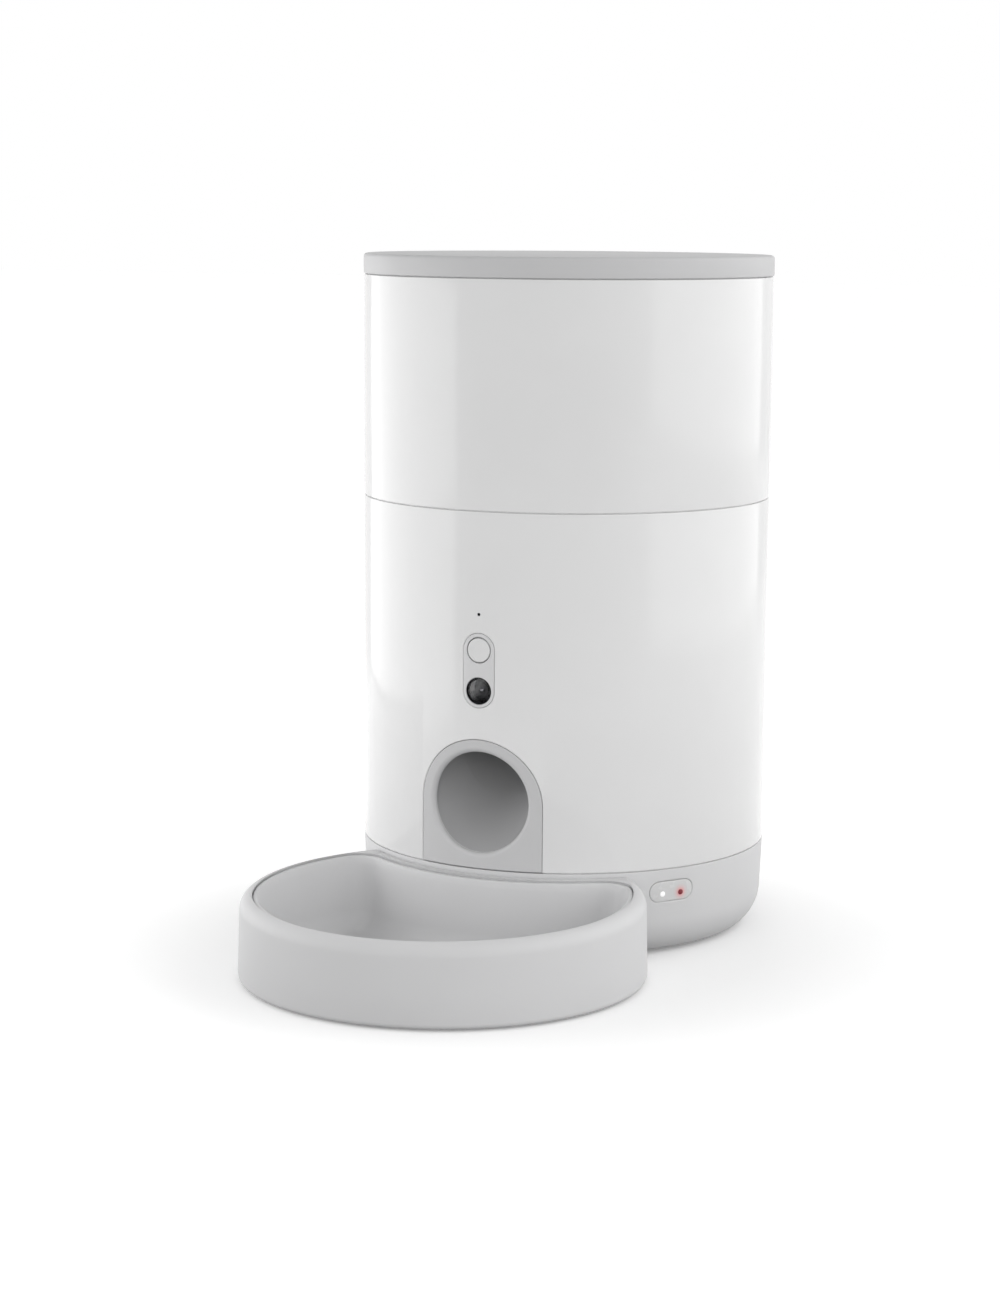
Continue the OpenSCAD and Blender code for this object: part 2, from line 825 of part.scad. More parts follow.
// Processor, radio can, power stage and plug-in headers, on the board's inner face
module board_chips() {
    chips = [[-4, 92, 14, 14, 1.6], [18, 78, 16, 20, 2.4], [-20, 74, 10, 12, 6], [-2, 66, 22, 6, 7]];
    color("dimgray") rotate([0, 0, 180]) for (c = chips)
        translate([c[0] - c[2] / 2, -(main_board_y - board_t), c[1] - c[3] / 2]) cube([c[2], c[4], c[3]]);
}

module board_screws() {
    color("silver") {
        at_camera_posts() translate([0, -(camera_board_y - board_t), 0]) rotate([-90, 0, 0]) small_screw();
        at_board_posts() translate([0, -(main_board_y - board_t), 0]) rotate([-90, 0, 0]) small_screw();
    }
}

module small_screw() {
    cylinder(r = 2, h = 1.3);
    translate([0, 0, -5]) cylinder(r = 0.9, h = 5 + tiny);
}

module speaker_driver() {
    color("dimgray") rotate([0, 0, 180]) {
        front_bar(0, speaker_z, speaker_r + speaker_rim, speaker_face - speaker_flange, speaker_face);
        front_bar(0, speaker_z, speaker_magnet_r, speaker_face - speaker_h,
            speaker_face - speaker_flange + tiny);
    }
}

// A round insert with a flat seat for the speaker behind its pierced face
module speaker_grille() {
    color("white") rotate([0, 0, 180]) difference() {
        union() {
            intersection() {
                tube(body_r, body_in - 1, speaker_z - 2 * speaker_r, speaker_z + 2 * speaker_r);
                front_bar(0, speaker_z, speaker_r, cut_near, cut_far);
            }
            intersection() {
                cylinder(r = body_in - fit, h = speaker_z + 2 * speaker_r);
                front_bar(0, speaker_z, speaker_r + speaker_rim, speaker_face, cut_far);
            }
        }
        front_bar(0, speaker_z, speaker_r - 1, speaker_face - 1, body_in - 3);
        front_bar(0, speaker_z, grille_hole_r, cut_near, cut_far);
        for (ring = [1:2], i = [0:6 * ring - 1]) {
            a = i * 60 / ring;
            r = grille_pitch * ring;
            front_bar(r * cos(a), speaker_z + r * sin(a), grille_hole_r, cut_near, cut_far);
        }
    }
}

// Base

module base_section(inset, top) {
    side_z = base_bottom + base_round;
    polygon([[0, base_bottom + inset], [base_flat_r, base_bottom + inset], [base_flat_r, side_z],
        [body_r - base_draft - inset, side_z], [body_r - inset, base_top], [body_r - inset, top], [0, top]]);
    intersection() {
        translate([base_flat_r, side_z]) circle(r = base_round - inset);
        translate([base_flat_r, base_bottom - 1]) square([base_round + 1, base_round + 1]);
    }
}

module base_shell() {
    lip_out = body_in - fit;
    lip_in = lip_out - base_lip_t;
    color("lightgray") difference() {
        union() {
            difference() {
                rotate_extrude() base_section(0, base_top);
                rotate_extrude() base_section(wall, base_top + 1);
            }
            rotate_extrude() polygon([[lip_in, base_top - 6], [body_in + 1, base_top - 6],
                [body_in + 1, base_top], [lip_out, base_top], [lip_out, base_top + base_lip_h],
                [lip_in, base_top + base_lip_h]]);
            at_bosses() translate([0, 0, base_floor - 1])
                cylinder(r = boss_r, h = boss_split - 0.3 - base_floor + 1);
            translate([-bay_w / 2 - bay_wall, bay_y - bay_l / 2 - bay_wall, base_floor - 0.5])
                cube([bay_w + 2 * bay_wall, bay_l + 2 * bay_wall, bay_top - base_floor + 0.5]);
            turned_window() for (s = [-1, 1])
                front_bar(s * led_post_x, window_z, led_post_r, led_board_y, led_post_end);
        }
        translate([-bay_w / 2, bay_y - bay_l / 2, base_bottom - 1]) cube([bay_w, bay_l, bay_top]);
        translate([-bay_w / 2 - door_lip, bay_y - bay_l / 2 - door_lip, base_bottom - 1])
            cube([bay_w + 2 * door_lip, bay_l + 2 * door_lip, door_t + 1]);
        at_feet() translate([0, 0, base_bottom - 1]) cylinder(r = foot_r + fit, h = foot_sink + 1);
        at_bosses() translate([0, 0, base_bottom - 1]) {
            cylinder(r = screw_r, h = boss_split);
            cylinder(r = head_r + fit, h = head_h + 1.4);
        }
        turned_window() toward_front(body_in - 6, cut_far) translate([0, window_z])
            rotate(90) oblong(window_h + 2 * fit, window_w + 2 * fit);
        for (s = [-1, 1]) toward_front(body_r - 12, cut_far)
            translate([s * tab_x, tab_z]) square([tab_w + 2 * slip, tab_h + 2 * slip], center = true);
        rotate([0, 0, 180]) toward_front(body_r - 8, cut_far) translate([0, inlet_z])
            rotate(90) oblong(inlet_h + 2 * fit, inlet_w + 2 * fit);
    }
}

module turned_window() {
    rotate([0, 0, window_angle]) children();
}

module at_feet() {
    for (x = [-1, 1], y = [-1, 1]) translate([x * foot_x, y * foot_y, 0]) children();
}

module base_feet() {
    color("dimgray") at_feet() rotate_extrude() polygon([[0, 0], [foot_r - 1, 0], [foot_r, 1],
        [foot_r, base_bottom + foot_sink], [0, base_bottom + foot_sink]]);
}

module base_screws() {
    color("silver") at_bosses() translate([0, 0, base_bottom + head_h + 0.4])
        mirror([0, 0, 1]) screw(boss_split + 8 - base_bottom);
}

// The clear indicator window, flush with the base's side
module led_window() {
    color("whitesmoke") difference() {
        intersection() {
            difference() {
                rotate_extrude() base_section(0, base_top);
                rotate_extrude() base_section(wall + 1.5, base_top + 1);
            }
            turned_window() toward_front(body_in - 6, cut_far) translate([0, window_z])
                rotate(90) oblong(window_h, window_w);
        }
        at_leds() front_bar(0, 0, led_r + fit, body_in - 6, cut_far);
    }
}

module at_leds() {
    turned_window() for (s = [-1, 1]) translate([s * led_pitch / 2, 0, led_z]) children();
}

// One light guide, from the small board to the window's face
module light_guide(side) {
    turned_window() intersection() {
        front_bar(side * led_pitch / 2, led_z, led_r, led_board_y, cut_far);
        cylinder(r = body_r - 0.2, h = base_top);
    }
}

module white_led() {
    color("white") light_guide(-1);
}

module red_led() {
    color("darkred") light_guide(1);
}

module led_board() {
    color("darkgreen") turned_window() toward_front(led_board_y - board_t, led_board_y)
        translate([0, window_z]) square([2 * (led_post_x + led_post_r), led_board_h], center = true);
}

module power_inlet() {
    face = body_r - base_draft - 0.4;
    back = face - inlet_depth;
    color("dimgray") translate([0, 0, inlet_z]) rotate([0, 0, 180]) {
        difference() {
            toward_front(back, face) rotate(90) oblong(inlet_h, inlet_w);
            toward_front(back + inlet_back_t, face + 1) rotate(90) oblong(socket_h, socket_w);
        }
        toward_front(back + inlet_back_t - 0.1, face - 1.5) square([tongue_w, tongue_t], center = true);
    }
}

module at_cells() {
    for (i = [0:cell_count - 1])
        translate([(i - (cell_count - 1) / 2) * cell_pitch, bay_y, cell_z]) children();
}

// Cells with a raised positive end towards the back
module battery_cells() {
    color("goldenrod") at_cells() rotate([-90, 0, 0]) {
        translate([0, 0, -cell_l / 2]) cylinder(r = cell_d / 2, h = cell_l - 1.5);
        translate([0, 0, cell_l / 2 - 1.5 - tiny]) cylinder(r = 4.75, h = 1.5 + tiny);
    }
}

// A plate with a stud behind each positive end, and a plate with a spring cone before each
// negative end
module battery_contacts() {
    plate = 0.5;
    size = 0.41 * cell_d;
    color("silver") at_cells() {
        translate([-size / 2, bay_l / 2 - plate, -size / 2 - 1]) cube([size, plate, size]);
        translate([0, cell_l / 2 + fit, 0]) rotate([-90, 0, 0])
            cylinder(r = 3, h = contact_l - plate - fit + tiny);
        translate([-size / 2, -bay_l / 2, -size / 2 - 1]) cube([size, plate, size]);
        translate([0, -bay_l / 2 + plate - tiny, 0]) rotate([-90, 0, 0])
            cylinder(r1 = 6, r2 = 3.5, h = contact_l - plate - fit);
    }
}

module battery_door() {
    gap = fit * 2;
    color("lightgray") difference() {
        union() {
            translate([-bay_w / 2 - door_lip + gap, bay_y - bay_l / 2 - door_lip + gap, base_bottom])
                cube([bay_w + 2 * (door_lip - gap), bay_l + 2 * (door_lip - gap), door_t]);
            translate([-bay_w / 2 + slip, bay_y - bay_l / 2 + slip, base_bottom + door_t - tiny])
                cube([bay_w - 2 * slip, bay_l - 2 * slip, base_floor - base_bottom - door_t]);
        }
        translate([0, bay_y - bay_l / 2 - door_lip, base_bottom - 1]) cylinder(r = 9, h = 1.8);
    }
}

// Bowl

module bowl_section() {
    shoulder_r = bowl_r - bowl_draft - rim_w;
    shoulder_z = bowl_h - rim_w;
    edge_z = bowl_bottom + bowl_edge_r;
    polygon([[0, bowl_bottom], [bowl_r - bowl_edge_r, bowl_bottom], [bowl_r - bowl_edge_r, edge_z],
        [bowl_r, edge_z], [bowl_r - bowl_draft, shoulder_z], [shoulder_r, shoulder_z],
        [shoulder_r, bowl_h], [0, bowl_h]]);
    intersection() {
        translate([bowl_r - bowl_edge_r, edge_z]) circle(r = bowl_edge_r);
        translate([bowl_r - bowl_edge_r, bowl_bottom - 1]) square([bowl_edge_r + 1, bowl_edge_r + 1]);
    }
    intersection() {
        translate([shoulder_r, shoulder_z]) circle(r = rim_w);
        translate([shoulder_r, shoulder_z]) square([rim_w + 1, rim_w + 1]);
    }
}

// Section of the hollow inside an arc of that radius: a chamfered rim, a leaning wall
// and a filleted floor
module hollow_section(arc_r) {
    wall_foot = arc_r - rim_chamfer - wall_lean;
    fillet_r = wall_foot - floor_fillet;
    polygon([[0, bowl_floor], [fillet_r, bowl_floor], [fillet_r, bowl_floor + floor_fillet],
        [wall_foot, bowl_floor + floor_fillet], [arc_r - rim_chamfer, bowl_h - rim_chamfer],
        [arc_r, bowl_h], [arc_r, bowl_h + 1], [0, bowl_h + 1]]);
    intersection() {
        translate([fillet_r, bowl_floor + floor_fillet]) circle(r = floor_fillet);
        translate([fillet_r, bowl_floor - 1]) square([floor_fillet + 1, floor_fillet + 1]);
    }
}

// The hollow: round in front, kept off the base at the back, with rounded corners between.
// The round and the corners stay a hair apart instead of touching along a tangent.
module bowl_hollow() {
    hair = 0.05;
    difference() {
        translate([0, -bowl_offset, 0]) rotate_extrude() hollow_section(rim_r);
        translate([0, 0, -hair]) rotate_extrude() back_wall_section();
        for (s = [0, 1]) mirror([s, 0, 0]) horn_wedge();
    }
    for (s = [0, 1]) mirror([s, 0, 0]) translate([corner_x, -corner_y, 0])
        rotate_extrude() hollow_section(bowl_corner_r - hair);
}

// The wall along the base, as a solid of revolution about the body's axis
module back_wall_section() {
    flat_inset = rim_chamfer + wall_lean + floor_fillet;
    difference() {
        translate([0, bowl_floor - 1]) square([back_rim_r + flat_inset, bowl_h + 3 - bowl_floor]);
        translate([corner_from_axis, 0]) mirror([1, 0]) hollow_section(bowl_corner_r);
    }
}

// The corner region past the two lines where the corner's rounding starts and ends
module horn_wedge() {
    reach = 2.5 * bowl_corner_r;
    angles = [side_angle, (side_angle + 180 - back_angle) / 2, 180 - back_angle];
    translate([corner_x, -corner_y, bowl_floor - 1]) linear_extrude(bowl_h + 3)
        polygon([[0, 0], for (a = angles) reach * [cos(a), sin(a)]]);
}

module food_bowl() {
    color("lightgray") difference() {
        union() {
            difference() {
                translate([0, -bowl_offset, 0]) rotate_extrude() bowl_section();
                translate([0, 0, -1]) cylinder(r = back_r, h = bowl_h + 2);
            }
            for (s = [-1, 1]) toward_front(body_r - tab_l, back_r + 3)
                translate([s * tab_x, tab_z]) square([tab_w, tab_h], center = true);
        }
        bowl_hollow();
        at_bowl_feet() translate([0, 0, bowl_bottom - 1]) cylinder(r = bowl_foot_r + fit, h = 2.2);
    }
}

module at_bowl_feet() {
    for (a = [150, 270, 30]) translate([0, -bowl_offset, 0]) rotate([0, 0, a])
        translate([bowl_r - 14, 0, 0]) children();
}

module bowl_feet() {
    color("dimgray") at_bowl_feet() cylinder(r = bowl_foot_r, h = bowl_bottom + 1.2);
}

// Moves a piece from the body's axis to the part's frame
module in_frame() {
    translate([0, axis_y, 0]) children();
}

in_frame() lid_cover();
in_frame() lid_seal();
in_frame() desiccant_box();
in_frame() food_hopper();
in_frame() dispensing_floor();
in_frame() portion_baffle();
in_frame() hopper_screws();
in_frame() rotor_hub();
in_frame() rotor_vanes();
in_frame() drive_coupler();
in_frame() output_shaft();
in_frame() body_shell();
in_frame() outlet_panel();
in_frame() food_chute();
in_frame() drop_sensors();
in_frame() camera_panel();
in_frame() camera_bezel();
in_frame() camera_lens();
in_frame() camera_module();
in_frame() camera_board();
in_frame() feed_button();
in_frame() button_switch();
in_frame() microphone();
in_frame() motor_deck();
in_frame() deck_screws();
in_frame() gearbox_case();
in_frame() motor_can();
in_frame() motor_screws();
in_frame() main_board();
in_frame() board_chips();
in_frame() board_screws();
in_frame() speaker_driver();
in_frame() speaker_grille();
in_frame() base_shell();
in_frame() base_feet();
in_frame() base_screws();
in_frame() led_window();
in_frame() white_led();
in_frame() red_led();
in_frame() led_board();
in_frame() power_inlet();
in_frame() battery_cells();
in_frame() battery_contacts();
in_frame() battery_door();
in_frame() food_bowl();
in_frame() bowl_feet();
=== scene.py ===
import math

import bmesh
import bpy
from mathutils import Matrix, Vector


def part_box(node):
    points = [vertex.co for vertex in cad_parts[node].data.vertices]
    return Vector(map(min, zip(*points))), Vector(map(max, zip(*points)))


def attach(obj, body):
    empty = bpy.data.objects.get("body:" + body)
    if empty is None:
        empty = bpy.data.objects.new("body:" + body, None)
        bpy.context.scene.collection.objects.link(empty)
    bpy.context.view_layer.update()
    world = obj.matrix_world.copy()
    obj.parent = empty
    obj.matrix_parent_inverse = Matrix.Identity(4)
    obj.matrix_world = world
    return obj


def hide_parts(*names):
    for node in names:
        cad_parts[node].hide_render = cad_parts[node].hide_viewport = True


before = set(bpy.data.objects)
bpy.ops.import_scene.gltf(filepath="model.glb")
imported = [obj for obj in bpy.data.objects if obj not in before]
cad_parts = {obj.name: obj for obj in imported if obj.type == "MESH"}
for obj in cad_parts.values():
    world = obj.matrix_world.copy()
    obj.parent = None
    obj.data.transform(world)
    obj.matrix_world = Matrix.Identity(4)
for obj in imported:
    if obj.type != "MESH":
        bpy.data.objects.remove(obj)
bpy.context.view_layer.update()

bl_info = {
    "name": "Pet feeder",
    "version": (1, 0, 0),
    "blender": (4, 5, 0),
    "location": "View3D > Sidebar > Feeder",
    "description": "Models the mouldings of an automatic pet feeder over its packed frame",
    "category": "Object",
}

# Sizes below are millimetres about the body's upright axis, front towards -Y.
MM = 0.001
HOPPER_LOW, HOPPER_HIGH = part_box("food_hopper")
LID_LOW, LID_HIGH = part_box("lid_cover")
BODY_LOW, BODY_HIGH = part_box("body_shell")
BASE_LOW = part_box("base_shell")[0]
BOWL_LOW, BOWL_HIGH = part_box("food_bowl")
AXIS_Y = (HOPPER_LOW.y + HOPPER_HIGH.y) / 2 / MM
BODY_R = (HOPPER_HIGH.x - HOPPER_LOW.x) / 2 / MM
LID_R = (LID_HIGH.x - LID_LOW.x) / 2 / MM
LID_TOP = LID_HIGH.z / MM
HOPPER_TOP = HOPPER_HIGH.z / MM
HOPPER_SEAM = BODY_HIGH.z / MM
BASE_TOP = BODY_LOW.z / MM
BASE_BOTTOM = BASE_LOW.z / MM
BOWL_H = BOWL_HIGH.z / MM
BOWL_BOTTOM = BOWL_LOW.z / MM
BOWL_R = (BOWL_HIGH.x - BOWL_LOW.x) / 2 / MM
BOWL_OFFSET = AXIS_Y - BOWL_R - BOWL_LOW.y / MM

# Walls, parting lines and clearances
WALL = 2.5
SEAM = 0.5
SEAM_R = BODY_R - 1.2
FIT = 0.15
SLIP = 0.4
BODY_IN = BODY_R - WALL
PLUG_R = BODY_IN - SLIP
SPIGOT_IN = PLUG_R - WALL
INSERT_SUNK = 0.05
CUT_REACH = 8

# Lid
PLUG_LOW = HOPPER_TOP - 11
SEAL_LOW = PLUG_LOW + 3
SEAL_TOP = SEAL_LOW + 3
SEAL_R = PLUG_R - 1.3
SOCKET_R = 30.15
SOCKET_OUT = SOCKET_R + 2.85
SOCKET_LOW = LID_TOP - 10
RIB_COUNT = 10
RIB_T = 1.6
RIB_H = 4

# Hopper
CHAMBER_R = 58
CHAMBER_FLOOR = HOPPER_SEAM - 66.6
LEDGE_Z = CHAMBER_FLOOR + 26
FUNNEL_R = CHAMBER_R + WALL
FUNNEL_TOP = LEDGE_Z + 35
FLANGE_R = CHAMBER_R + 8
FLANGE_LOW = CHAMBER_FLOOR - 3

# Outlet and slide
OUTLET_R = 23
OUTLET_Z = 73.4
OUTLET_BACK = 5
ARCH_HALF = 30.5
ARCH_Z = OUTLET_Z - 1
MOUTH_R = 23.7
MOUTH_Y = -70
SLIDE_R = 22.52
SLIDE_Y = -37.5
SLIDE_Z = 128
SLIDE_TILT = math.radians(39.78)
SLIDE_ROOF = OUTLET_Z + OUTLET_R + 8
SLIDE_WALL = 2
SLEEVE_IN = 0.1
SLEEVE_OUT = 0.03

# Camera panel, microphone and speaker
PANEL_R = 7.8
PANEL_Z = 135.3
PANEL_REACH = 9.5
BUTTON_R = 5.6
BUTTON_Z = PANEL_Z + PANEL_REACH
BUTTON_FLANGE_Y = BODY_R - 3.8
LENS_R = 6.2
LENS_Z = PANEL_Z - PANEL_REACH
EYE_Y = BODY_R - 0.3
DOME_R = 15
DOME_HALF = 5.9
MIC_R = 0.75
MIC_Z = 161.4
SPEAKER_R = 17
SPEAKER_Z = 150
SOUND_PITCH = 5.5

# Screw posts and screws
BOSS_R = 5
BOSS_BORE = 1.5
BOSS_RING = 78.5
BOSS_ANGLES = (58, 122, 238, 302)
BOSS_SPLIT = BASE_TOP + 4.3
DECK_LOW = 124
SCREW_R = 1.4
HEAD_R = 3.2
HEAD_H = 2
RECESS_R = 3.35
RECESS_TOP = BASE_BOTTOM + 2.4

# Base
BASE_CURVE = 20.5
BASE_DRAFT = 1
BASE_SIDE_Z = BASE_BOTTOM + 16.5
BASE_FLOOR = BASE_BOTTOM + WALL
LIP_R = BODY_IN - FIT
LIP_IN = LIP_R - 2
LIP_TOP = BASE_TOP + 4
LIP_ROOT = BASE_TOP - 6
WINDOW_TURN = 55.4
WINDOW_Z = 31.4
WINDOW_HALF = 4.75
WINDOW_REACH = 7
LIGHT_Z = 30.3
LIGHT_X = 5
LIGHT_R = 1.3
LIGHT_BACK = 9
INLET_Z = 21
INLET_HALF = 3
INLET_REACH = 2.8
TAB_X = 22
TAB_Z = 18
TAB_W = 15
TAB_H = 4
BAY_X = 52.8
BAY_Y = (-29.75, 43.75)
BAY_TOP = 30
BAY_LIP = 1.5
DOOR_T = 1.25
BASE_FOOT_R = 8
BASE_FOOT_H = 3.5

# Bowl
BOWL_BACK_R = 98.4
RIM_R = BOWL_R - 6.5
RIM_BACK_R = BOWL_BACK_R + 4
RIM_CORNER = 14
RIM_ROUND = 6.5
LINER_IN = 0.7
BOWL_EDGE = 2.5
BOWL_LEAN = 0.7
BOWL_RISE = 3
BOWL_FLOOR = 4
BOWL_BEND = 10
BOWL_FOOT_R = 6
BOWL_FOOT_H = 2
BOWL_FOOT_RING = BOWL_R - 14


def length(name, description, default):
    """A size in metres that a user may change, given here in millimetres."""
    return bpy.props.FloatProperty(name=name, description=description, default=default * MM,
                                   min=0.0, unit="LENGTH", precision=5)


def colour(name, description, default):
    """A linear colour that a user may change."""
    return bpy.props.FloatVectorProperty(name=name, description=description, default=default,
                                         subtype="COLOR", size=3, min=0.0, max=1.0)


def turn(name, description, default):
    """An angle, given here in degrees."""
    return bpy.props.FloatProperty(name=name, description=description,
                                   default=math.radians(default), subtype="ANGLE")


def share(name, description, default):
    """A brightness or a part of one, from 0 to 1."""
    return bpy.props.FloatProperty(name=name, description=description, default=default,
                                   min=0.0, max=1.0)


def power(name, description, default):
    """A lamp's power in watts."""
    return bpy.props.FloatProperty(name=name, description=description, default=default,
                                   min=0.0, unit="POWER")


class FeederSizes(bpy.types.PropertyGroup):
    """Edge roundings and other small forms of the mouldings"""
    seam_round: length("Seam rounding", "Rounding of the edges along the parting lines", 0.35)
    lid_round: length("Lid rounding", "Rounding of the lid's top edge", 1.7)
    outlet_round: length("Outlet rounding", "Rounding of the food outlet's edge", 2.4)
    panel_round: length("Panel rounding", "Rounding round the arch, the oblong panel and the window", 0.4)
    button_dish: length("Button dish", "Depth of the hollow in the feed button", 0.25)
    groove_w: length("Rim gap width", "Width of the gap between the bowl's rim and its liner", 0.6)
    groove_depth: length("Rim gap depth", "Depth of the gap between the bowl's rim and its liner", 2.6)
    liner_drop: length("Liner drop", "How far the liner's lip lies below the rim", 0.9)
    horn_round: length("Bowl corner rounding", "Rounding of the bowl's outer corners", 1.2)
    facets: bpy.props.IntProperty(name="Facets", description="Facets round a full turn of the body",
                                  default=288, min=48, max=512)


class FeederColours(bpy.types.PropertyGroup):
    """Colours of the mouldings and fittings"""
    white_shell: colour("White shell", "Glossy shell of the body and the hopper", (0.83, 0.83, 0.83))
    grey_shell: colour("Grey shell", "Base and bowl", (0.685, 0.685, 0.69))
    # A darker copy of the grey shell for the lid and the outlet panel: painted shade.
    shaded_top_grey: colour("Upper grey", "Lid and outlet panel", (0.61, 0.61, 0.615))
    panel_grey: colour("Oblong panel", "Insert that carries the button and the camera", (0.71, 0.71, 0.715))
    button_white: colour("Button", "Feed button", (0.79, 0.79, 0.79))
    slide_grey: colour("Food slide", "Slide behind the outlet", (0.4, 0.4, 0.405))
    inner_grey: colour("Inner mouldings", "Dispenser parts and motor deck", (0.4, 0.4, 0.41))
    silicone: colour("Silicone", "Lid seal and rotor vanes", (0.68, 0.68, 0.68))
    foot_rubber: colour("Foot rubber", "Feet of the base and the bowl", (0.035, 0.035, 0.037))
    black_plastic: colour("Black plastic", "Camera bezel, sensors and inlet", (0.012, 0.012, 0.013))
    steel: colour("Plated steel", "Screws, shaft and contacts", (0.62, 0.62, 0.63))
    board_green: colour("Board", "Solder mask of the boards", (0.012, 0.1, 0.035))
    red_light: colour("Red light", "Lit red indicator", (0.2, 0.006, 0.016))


class FeederStage(bpy.types.PropertyGroup):
    """Camera, floor and lamps"""
    camera_away: length("Camera distance", "Distance from the body's axis, along the floor", 1395.06)
    camera_up: length("Camera height", "Height above the floor", 345.43)
    camera_round: turn("Camera azimuth", "Turn round the body, from the front to the right", 23.9)
    camera_yaw: turn("Camera yaw", "Turn of the view past the body's axis", 1.308)
    camera_pitch: turn("Camera pitch", "Tilt of the view below the horizon", 8.722)
    camera_roll: turn("Camera roll", "Roll of the view", 0.385)
    camera_lens: bpy.props.FloatProperty(name="Lens", description="Focal length for a 36 mm long side",
                                         default=79.766, unit="CAMERA")
    floor: colour("Floor", "Pale floor", (0.96, 0.96, 0.96))
    floor_bounce: share("Floor bounce", "Share of its colour that the floor throws up", 0.45)
    # The near lift is smaller than the far one, which leaves painted shade on the floor round the feeder.
    floor_lift: share("Floor lift", "Brightness added where the floor is seen directly", 0.16)
    far_lift: share("Far lift", "Brightness added where the floor is seen far away", 0.52)
    lift_start: length("Lift start", "Distance at which the added brightness starts to grow", 120)
    lift_end: length("Lift end", "Distance at which the added brightness stops growing", 320)
    sky: share("Sky", "Strength of the light from the horizon", 0.95)
    zenith: share("Zenith", "Strength of the light from straight above", 0.28)
    left_lamp: power("Left lamp", "Power of the lamp on the left", 2.1)
    right_lamp: power("Right lamp", "Power of the lamp on the right", 15.5)
    front_lamp: power("Front lamp", "Power of the low lamp in front", 1.15)


# Modelling steps

def start_clean():
    """Goes to object mode with nothing selected."""
    if bpy.context.object and bpy.context.object.mode != "OBJECT":
        bpy.ops.object.mode_set(mode="OBJECT")
    bpy.ops.object.select_all(action="DESELECT")


def choose(*pieces):
    """Selects pieces, the first one active."""
    start_clean()
    for piece in pieces:
        piece.select_set(True)
    bpy.context.view_layer.objects.active = pieces[0]


def in_frame(point):
    """A point about the body's axis, in the frame's metres."""
    return Vector((point[0] * MM, (point[1] + AXIS_Y) * MM, point[2] * MM))


def named(name):
    """The active object under a new name."""
    piece = bpy.context.object
    piece.name = name
    piece.data.name = name
    return piece


def drop(piece):
    """Removes a piece that was only a tool."""
    bpy.data.objects.remove(piece, do_unlink=True)


def wire(name, points):
    """A closed wire through the points, from a circle whose vertices are moved there."""
    start_clean()
    bpy.ops.mesh.primitive_circle_add(vertices=len(points), radius=0.01, fill_type="NOTHING")
    piece = named(name)
    for vertex, point in zip(piece.data.vertices, points):
        vertex.co = point
    return piece


def tidy_mesh(piece):
    """Merges doubles, drops loose edges and points the faces outwards."""
    choose(piece)
    bpy.ops.object.mode_set(mode="EDIT")
    bpy.ops.mesh.select_all(action="SELECT")
    bpy.ops.mesh.remove_doubles(threshold=1e-6)
    bpy.ops.mesh.delete_loose(use_verts=True, use_edges=True, use_faces=False)
    bpy.ops.mesh.select_all(action="SELECT")
    bpy.ops.mesh.normals_make_consistent(inside=False)
    bpy.ops.object.mode_set(mode="OBJECT")


def arc_steps(size):
    """How many steps a rounding of that radius gets."""
    if size < 0.5:
        return 3
    return 6 if size < 4 else 16


def rounded(corners):
    """Points of a closed section whose corners (radius, height, rounding) are rounded."""
    points = []
    for i, (r, h, size) in enumerate(corners):
        here = Vector((r, h))
        if size == 0:
            points.append(here)
            continue
        back = (Vector(corners[i - 1][:2]) - here).normalized()
        ahead = (Vector(corners[(i + 1) % len(corners)][:2]) - here).normalized()
        half = back.angle(ahead) / 2
        middle = here + (back + ahead).normalized() * size / math.sin(half)
        first = here + back * size / math.tan(half) - middle
        last = here + ahead * size / math.tan(half) - middle
        sweep = math.atan2(first.x * last.y - first.y * last.x, first.dot(last))
        steps = arc_steps(size)
        for k in range(steps + 1):
            points.append(middle + Matrix.Rotation(sweep * k / steps, 2) @ first)
    return points


def spun(name, corners, middle=(0, 0, 0), forward=False, steps=None):
    """Spins a closed section round an upright axis, or round one towards the front."""
    points = rounded(corners)
    piece = wire(name, [(r * MM, 0.0, h * MM) for r, h in points])
    choose(piece)
    bpy.ops.object.mode_set(mode="EDIT")
    bpy.ops.mesh.select_all(action="SELECT")
    bpy.ops.mesh.spin(steps=steps or bpy.context.scene.feeder_sizes.facets, angle=2 * math.pi,
                      center=(0, 0, 0), axis=(0, 0, 1))
    tidy_mesh(piece)
    if forward:
        piece.rotation_euler = (math.radians(90), 0, 0)
    piece.location = in_frame(middle)
    bpy.ops.object.transform_apply(location=True, rotation=True, scale=True)
    return piece


def loft(name, rows, closed=False):
    """Extrudes a loop from row to row of points, and caps its ends or joins them."""
    piece = wire(name, [in_frame(p) for p in rows[0]])
    choose(piece)
    bpy.ops.object.mode_set(mode="EDIT")
    bpy.ops.mesh.select_mode(type="VERT")
    bpy.ops.mesh.select_all(action="SELECT")
    ring = list(range(len(rows[0])))
    for row in rows[1:] + (rows[:1] if closed else []):
        bpy.ops.mesh.extrude_region_move()
        grid = bmesh.from_edit_mesh(piece.data)
        grid.verts.ensure_lookup_table()
        grid.verts.index_update()
        known = len(grid.verts) - len(ring)
        fresh = []
        for index, point in zip(ring, row):
            vertex = grid.verts[index]
            ends = [edge.other_vert(vertex) for edge in vertex.link_edges]
            new = next(end for end in ends if end.index >= known)
            new.co = in_frame(point)
            fresh.append(new.index)
        ring = fresh
        bmesh.update_edit_mesh(piece.data)
    if not closed:
        bpy.ops.mesh.edge_face_add()
        grid = bmesh.from_edit_mesh(piece.data)
        grid.verts.ensure_lookup_table()
        bpy.ops.mesh.select_all(action="DESELECT")
        for index in range(len(rows[0])):
            grid.verts[index].select_set(True)
        grid.select_flush(True)
        bmesh.update_edit_mesh(piece.data)
        bpy.ops.mesh.edge_face_add()
    bpy.ops.object.mode_set(mode="OBJECT")
    tidy_mesh(piece)
    return piece


